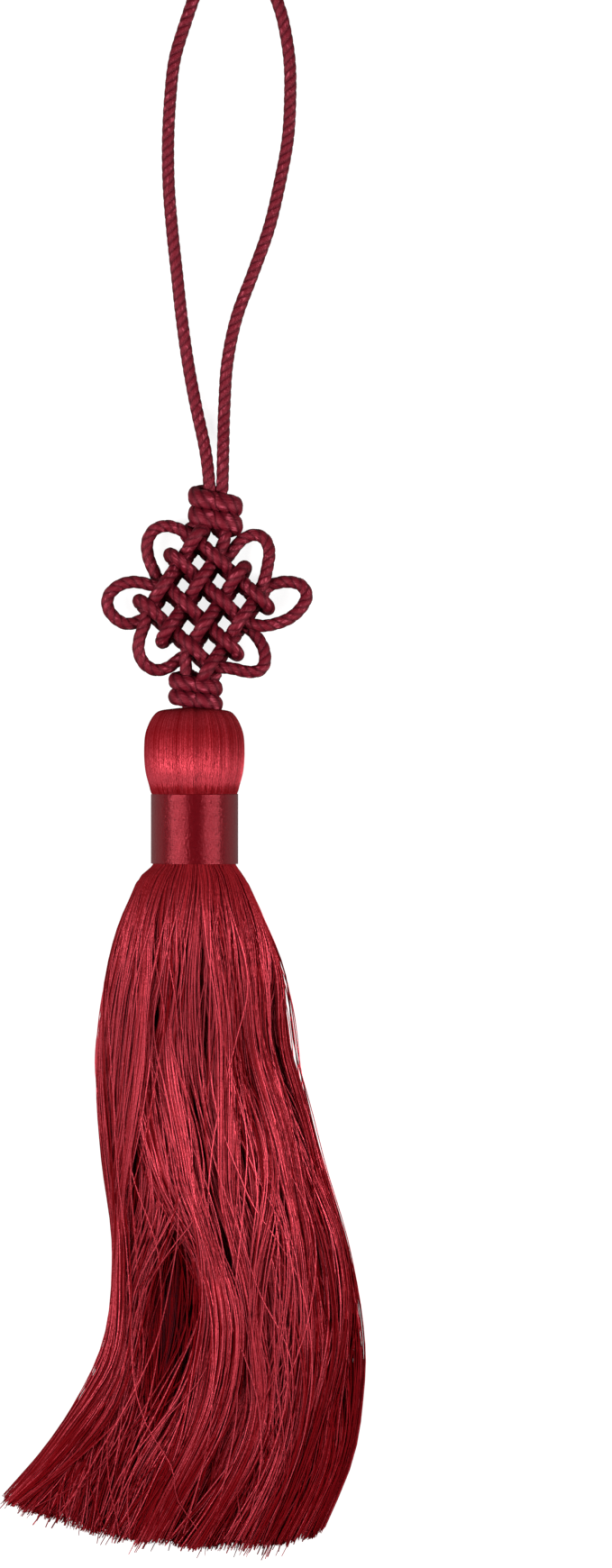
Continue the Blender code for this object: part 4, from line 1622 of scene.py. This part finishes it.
    def strays(self, draws: np.random.Generator) -> tuple[Array, Array, Array]:
        """The guide lines of the lone threads: in the veils, and across the top.

        Args:
            draws: their random numbers.

        Returns:
            The threads' points, tones and shares, with one row for each thread.
        """
        across, upright, cuts = [], [], []
        for veil in self.veils:
            for number in range(veil.threads):
                cuts.append(draws.uniform(*self.stray_cuts))
                share = self.shares(np.array(cuts[-1:]), self.stray_stations)[0]
                base = draws.uniform(*self.stray_bases)
                depth = self.veil_fill * veil.depth
                out = 1 - depth * (number + draws.uniform(0.2, 0.8)) / veil.threads
                reach = self.veil_reach * veil.half_length
                clear = np.exp(-((share - veil.share) / reach) ** 2)
                across.append(veil.side * (base + (out - base) * clear))
                upright.append(np.full(len(share), draws.uniform(*self.stray_heights)))
        for path in STRAY_THREADS:
            steps = smooth_route(np.column_stack([np.array(path), np.zeros(len(path))]), 0.01)
            cuts.append(path[-1][0])
            share = self.shares(np.array(cuts[-1:]), self.stray_stations)[0]
            across.append(np.interp(share, steps[:, 0], steps[:, 1]))
            upright.append(1 + (self.stray_lift - 1) * self.fuzzing.at(share))
        share = self.shares(np.array(cuts), self.stray_stations)
        tone = draws.uniform(*self.stray_tones, (len(cuts), 1))
        return self.placed(np.array(across), np.array(upright), share, np.ones((len(cuts), 1)), tone)

    def threads(self, name: str, lines: tuple[Array, Array, Array], draws: np.random.Generator,
                thick: float = 1.0) -> Object:
        """Make one piece of the skirt from its guide lines.

        Args:
            name: the piece's name.
            lines: the threads' points, tones and shares.
            draws: random numbers for their girths.
            thick: how thick they are, as a factor.

        Returns:
            The piece.
        """
        points, tone, share = lines
        girth = draws.uniform(*self.girths, (len(share), 1))
        girth = girth * (self.root_girth - self.slimming.at(share))
        girth = girth * (1 - self.tapering.at(share / share[:, -1:]))
        strand = np.ones_like(share) * draws.random((len(share), 1))
        guide = guide_lines(f"{name}_guide", list(points), tone=list(tone), girth=list(girth),
                            strand=list(strand))
        return self.tree.run(name, guide, self.material, Diameter=thick * self.thread, Sides=3)

    def shapes(self) -> list[Object]:
        """Make the skirt, layer by layer.

        Returns:
            A piece for each layer, and one for the lone threads.
        """
        pieces = []
        for number, layer in enumerate(self.layers, 1):
            draws = np.random.default_rng(self.seed + number)
            pieces.append(self.threads(layer.name, self.guides(layer, draws), draws, layer.girth))
        draws = np.random.default_rng(self.seed)
        pieces.append(self.threads("skirt_stray_threads", self.strays(draws), draws))
        return pieces


# --- studio -------------------------------------------------------------------------------------
@dataclass(frozen=True)
class Panel:
    """A soft light panel, aimed at the tassel."""
    name: str
    place: tuple[float, float, float]
    width: float
    length: float
    power: float


@dataclass
class Studio:
    """A pale floor, two long soft panels, a low fill and the camera straight above."""
    photo_scale: float = 0.185 * MM       # metres to a pixel of the photograph
    photo_size: tuple[int, int] = (679, 1740)
    origin_pixel: Point = (216.0, 830.0)
    lens: float = 135.0
    sensor: float = 36.0
    clip: Point = (0.05, 10.0)
    focus_height: float = 8.0 * MM
    aim: tuple[float, float, float] = (0.0, -0.03, 0.0)
    panels: tuple[Panel, ...] = (
        Panel("left_panel", (-0.50, -0.04, 0.52), 0.16, 0.62, 8.9),
        Panel("right_panel", (0.56, -0.04, 0.50), 0.16, 0.62, 8.2),
    )
    fill: float = 0.14
    fill_tint: Colour = (1.0, 0.30, 0.34)     # the red that the threads throw back
    floor_size: float = 8.0
    floor_glow: float = 0.84                  # what the camera sees of the floor's own light
    floor_shade: Colour = (0.22, 0.22, 0.218)
    mottle: float = 0.985                     # the floor's darker shade, as a share of the other
    mottle_scale: float = 3.0

    def camera(self) -> None:
        """The camera looks straight down, framed as the photograph."""
        data = bpy.data.cameras.new("camera")
        data.lens, data.sensor_width = self.lens, self.sensor
        data.clip_start, data.clip_end = self.clip
        camera = added("camera", data)
        width, height = self.photo_size
        x = (width / 2 - self.origin_pixel[0]) * self.photo_scale
        y = (self.origin_pixel[1] - height / 2) * self.photo_scale
        distance = height * self.photo_scale * self.lens / self.sensor
        camera.location = (x, y, distance + self.focus_height)
        bpy.context.scene.camera = camera

    def floor(self) -> None:
        """A wide pale floor."""
        finish = Finish("pale_floor", Sheen(roughness=0.9, specular=0.2))
        place = finish.add("ShaderNodeTexCoord").outputs["Object"]
        noise = finish.add("ShaderNodeTexNoise", {"Vector": place, "Scale": self.mottle_scale})
        darker = tuple(shade * self.mottle for shade in self.floor_shade)
        seen = finish.add("ShaderNodeLightPath").outputs["Is Camera Ray"]
        finish.feed(finish.shader, {
            "Base Color": finish.mix(noise.outputs["Fac"], darker, self.floor_shade),
            "Emission Color": (1.0, 1.0, 1.0, 1.0),
            "Emission Strength": finish.math("MULTIPLY", seen, self.floor_glow)})
        bpy.ops.mesh.primitive_plane_add(size=self.floor_size)
        floor = bpy.context.object
        floor.name = "floor"
        floor.data.materials.append(finish.material)

    def lights(self) -> None:
        """The panels and the fill."""
        for panel in self.panels:
            data = bpy.data.lights.new(panel.name, "AREA")
            data.shape = "RECTANGLE"
            data.size, data.size_y, data.energy = panel.width, panel.length, panel.power
            light = added(panel.name, data)
            light.location = panel.place
            aim = Vector(self.aim) - Vector(panel.place)
            light.rotation_euler = aim.to_track_quat("-Z", "Y").to_euler()
        world = bpy.data.worlds.new("studio")
        world.use_nodes = True
        Graph(world.node_tree).feed(world.node_tree.nodes["Background"], {
            "Color": (*self.fill_tint, 1.0), "Strength": self.fill})
        bpy.context.scene.world = world

    def build(self) -> None:
        """Set up the whole studio."""
        bpy.context.scene.view_settings.view_transform = "Standard"
        self.camera()
        self.lights()
        self.floor()


# --- the tassel ---------------------------------------------------------------------------------
def report(pieces: list[Object]) -> None:
    """Log each piece and its number of triangles."""
    for piece in pieces:
        piece.data.calc_loop_triangles()
        LOG.info("%s: %d triangles", piece.name, len(piece.data.loop_triangles))


def main() -> None:
    """Build the studio and then the tassel."""
    logging.basicConfig(level=logging.INFO, format="%(name)s: %(message)s")
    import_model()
    Studio().build()
    group = FibreGroup()
    cord, thread, satin = (finish.material(group)
                           for finish in (CordFinish(), ThreadFinish(), SatinFinish()))
    rope_tree, thread_tree = RopeTree(), ThreadTree()
    tassel = (
        HangingLoop(rope_tree, cord),
        PanChangKnot(rope_tree, cord),
        ConnectionKnot(rope_tree, cord, name="upper_connection_knot", x=4.2, bottom=45.0, top=52.7,
                       half_width=5.7, half_depth=3.6, slant=-0.03),
        ConnectionKnot(rope_tree, cord, name="lower_connection_knot", x=0.2, bottom=8.2, top=14.6,
                       half_width=5.6, half_depth=3.6, slant=0.0),
        TasselHead(thread_tree, thread),
        NeckBand(WindingTree(), satin),
        Skirt(thread_tree, thread),
    )
    for assembly in tassel:
        report(assembly.build())


if __name__ == "__main__":
    main()
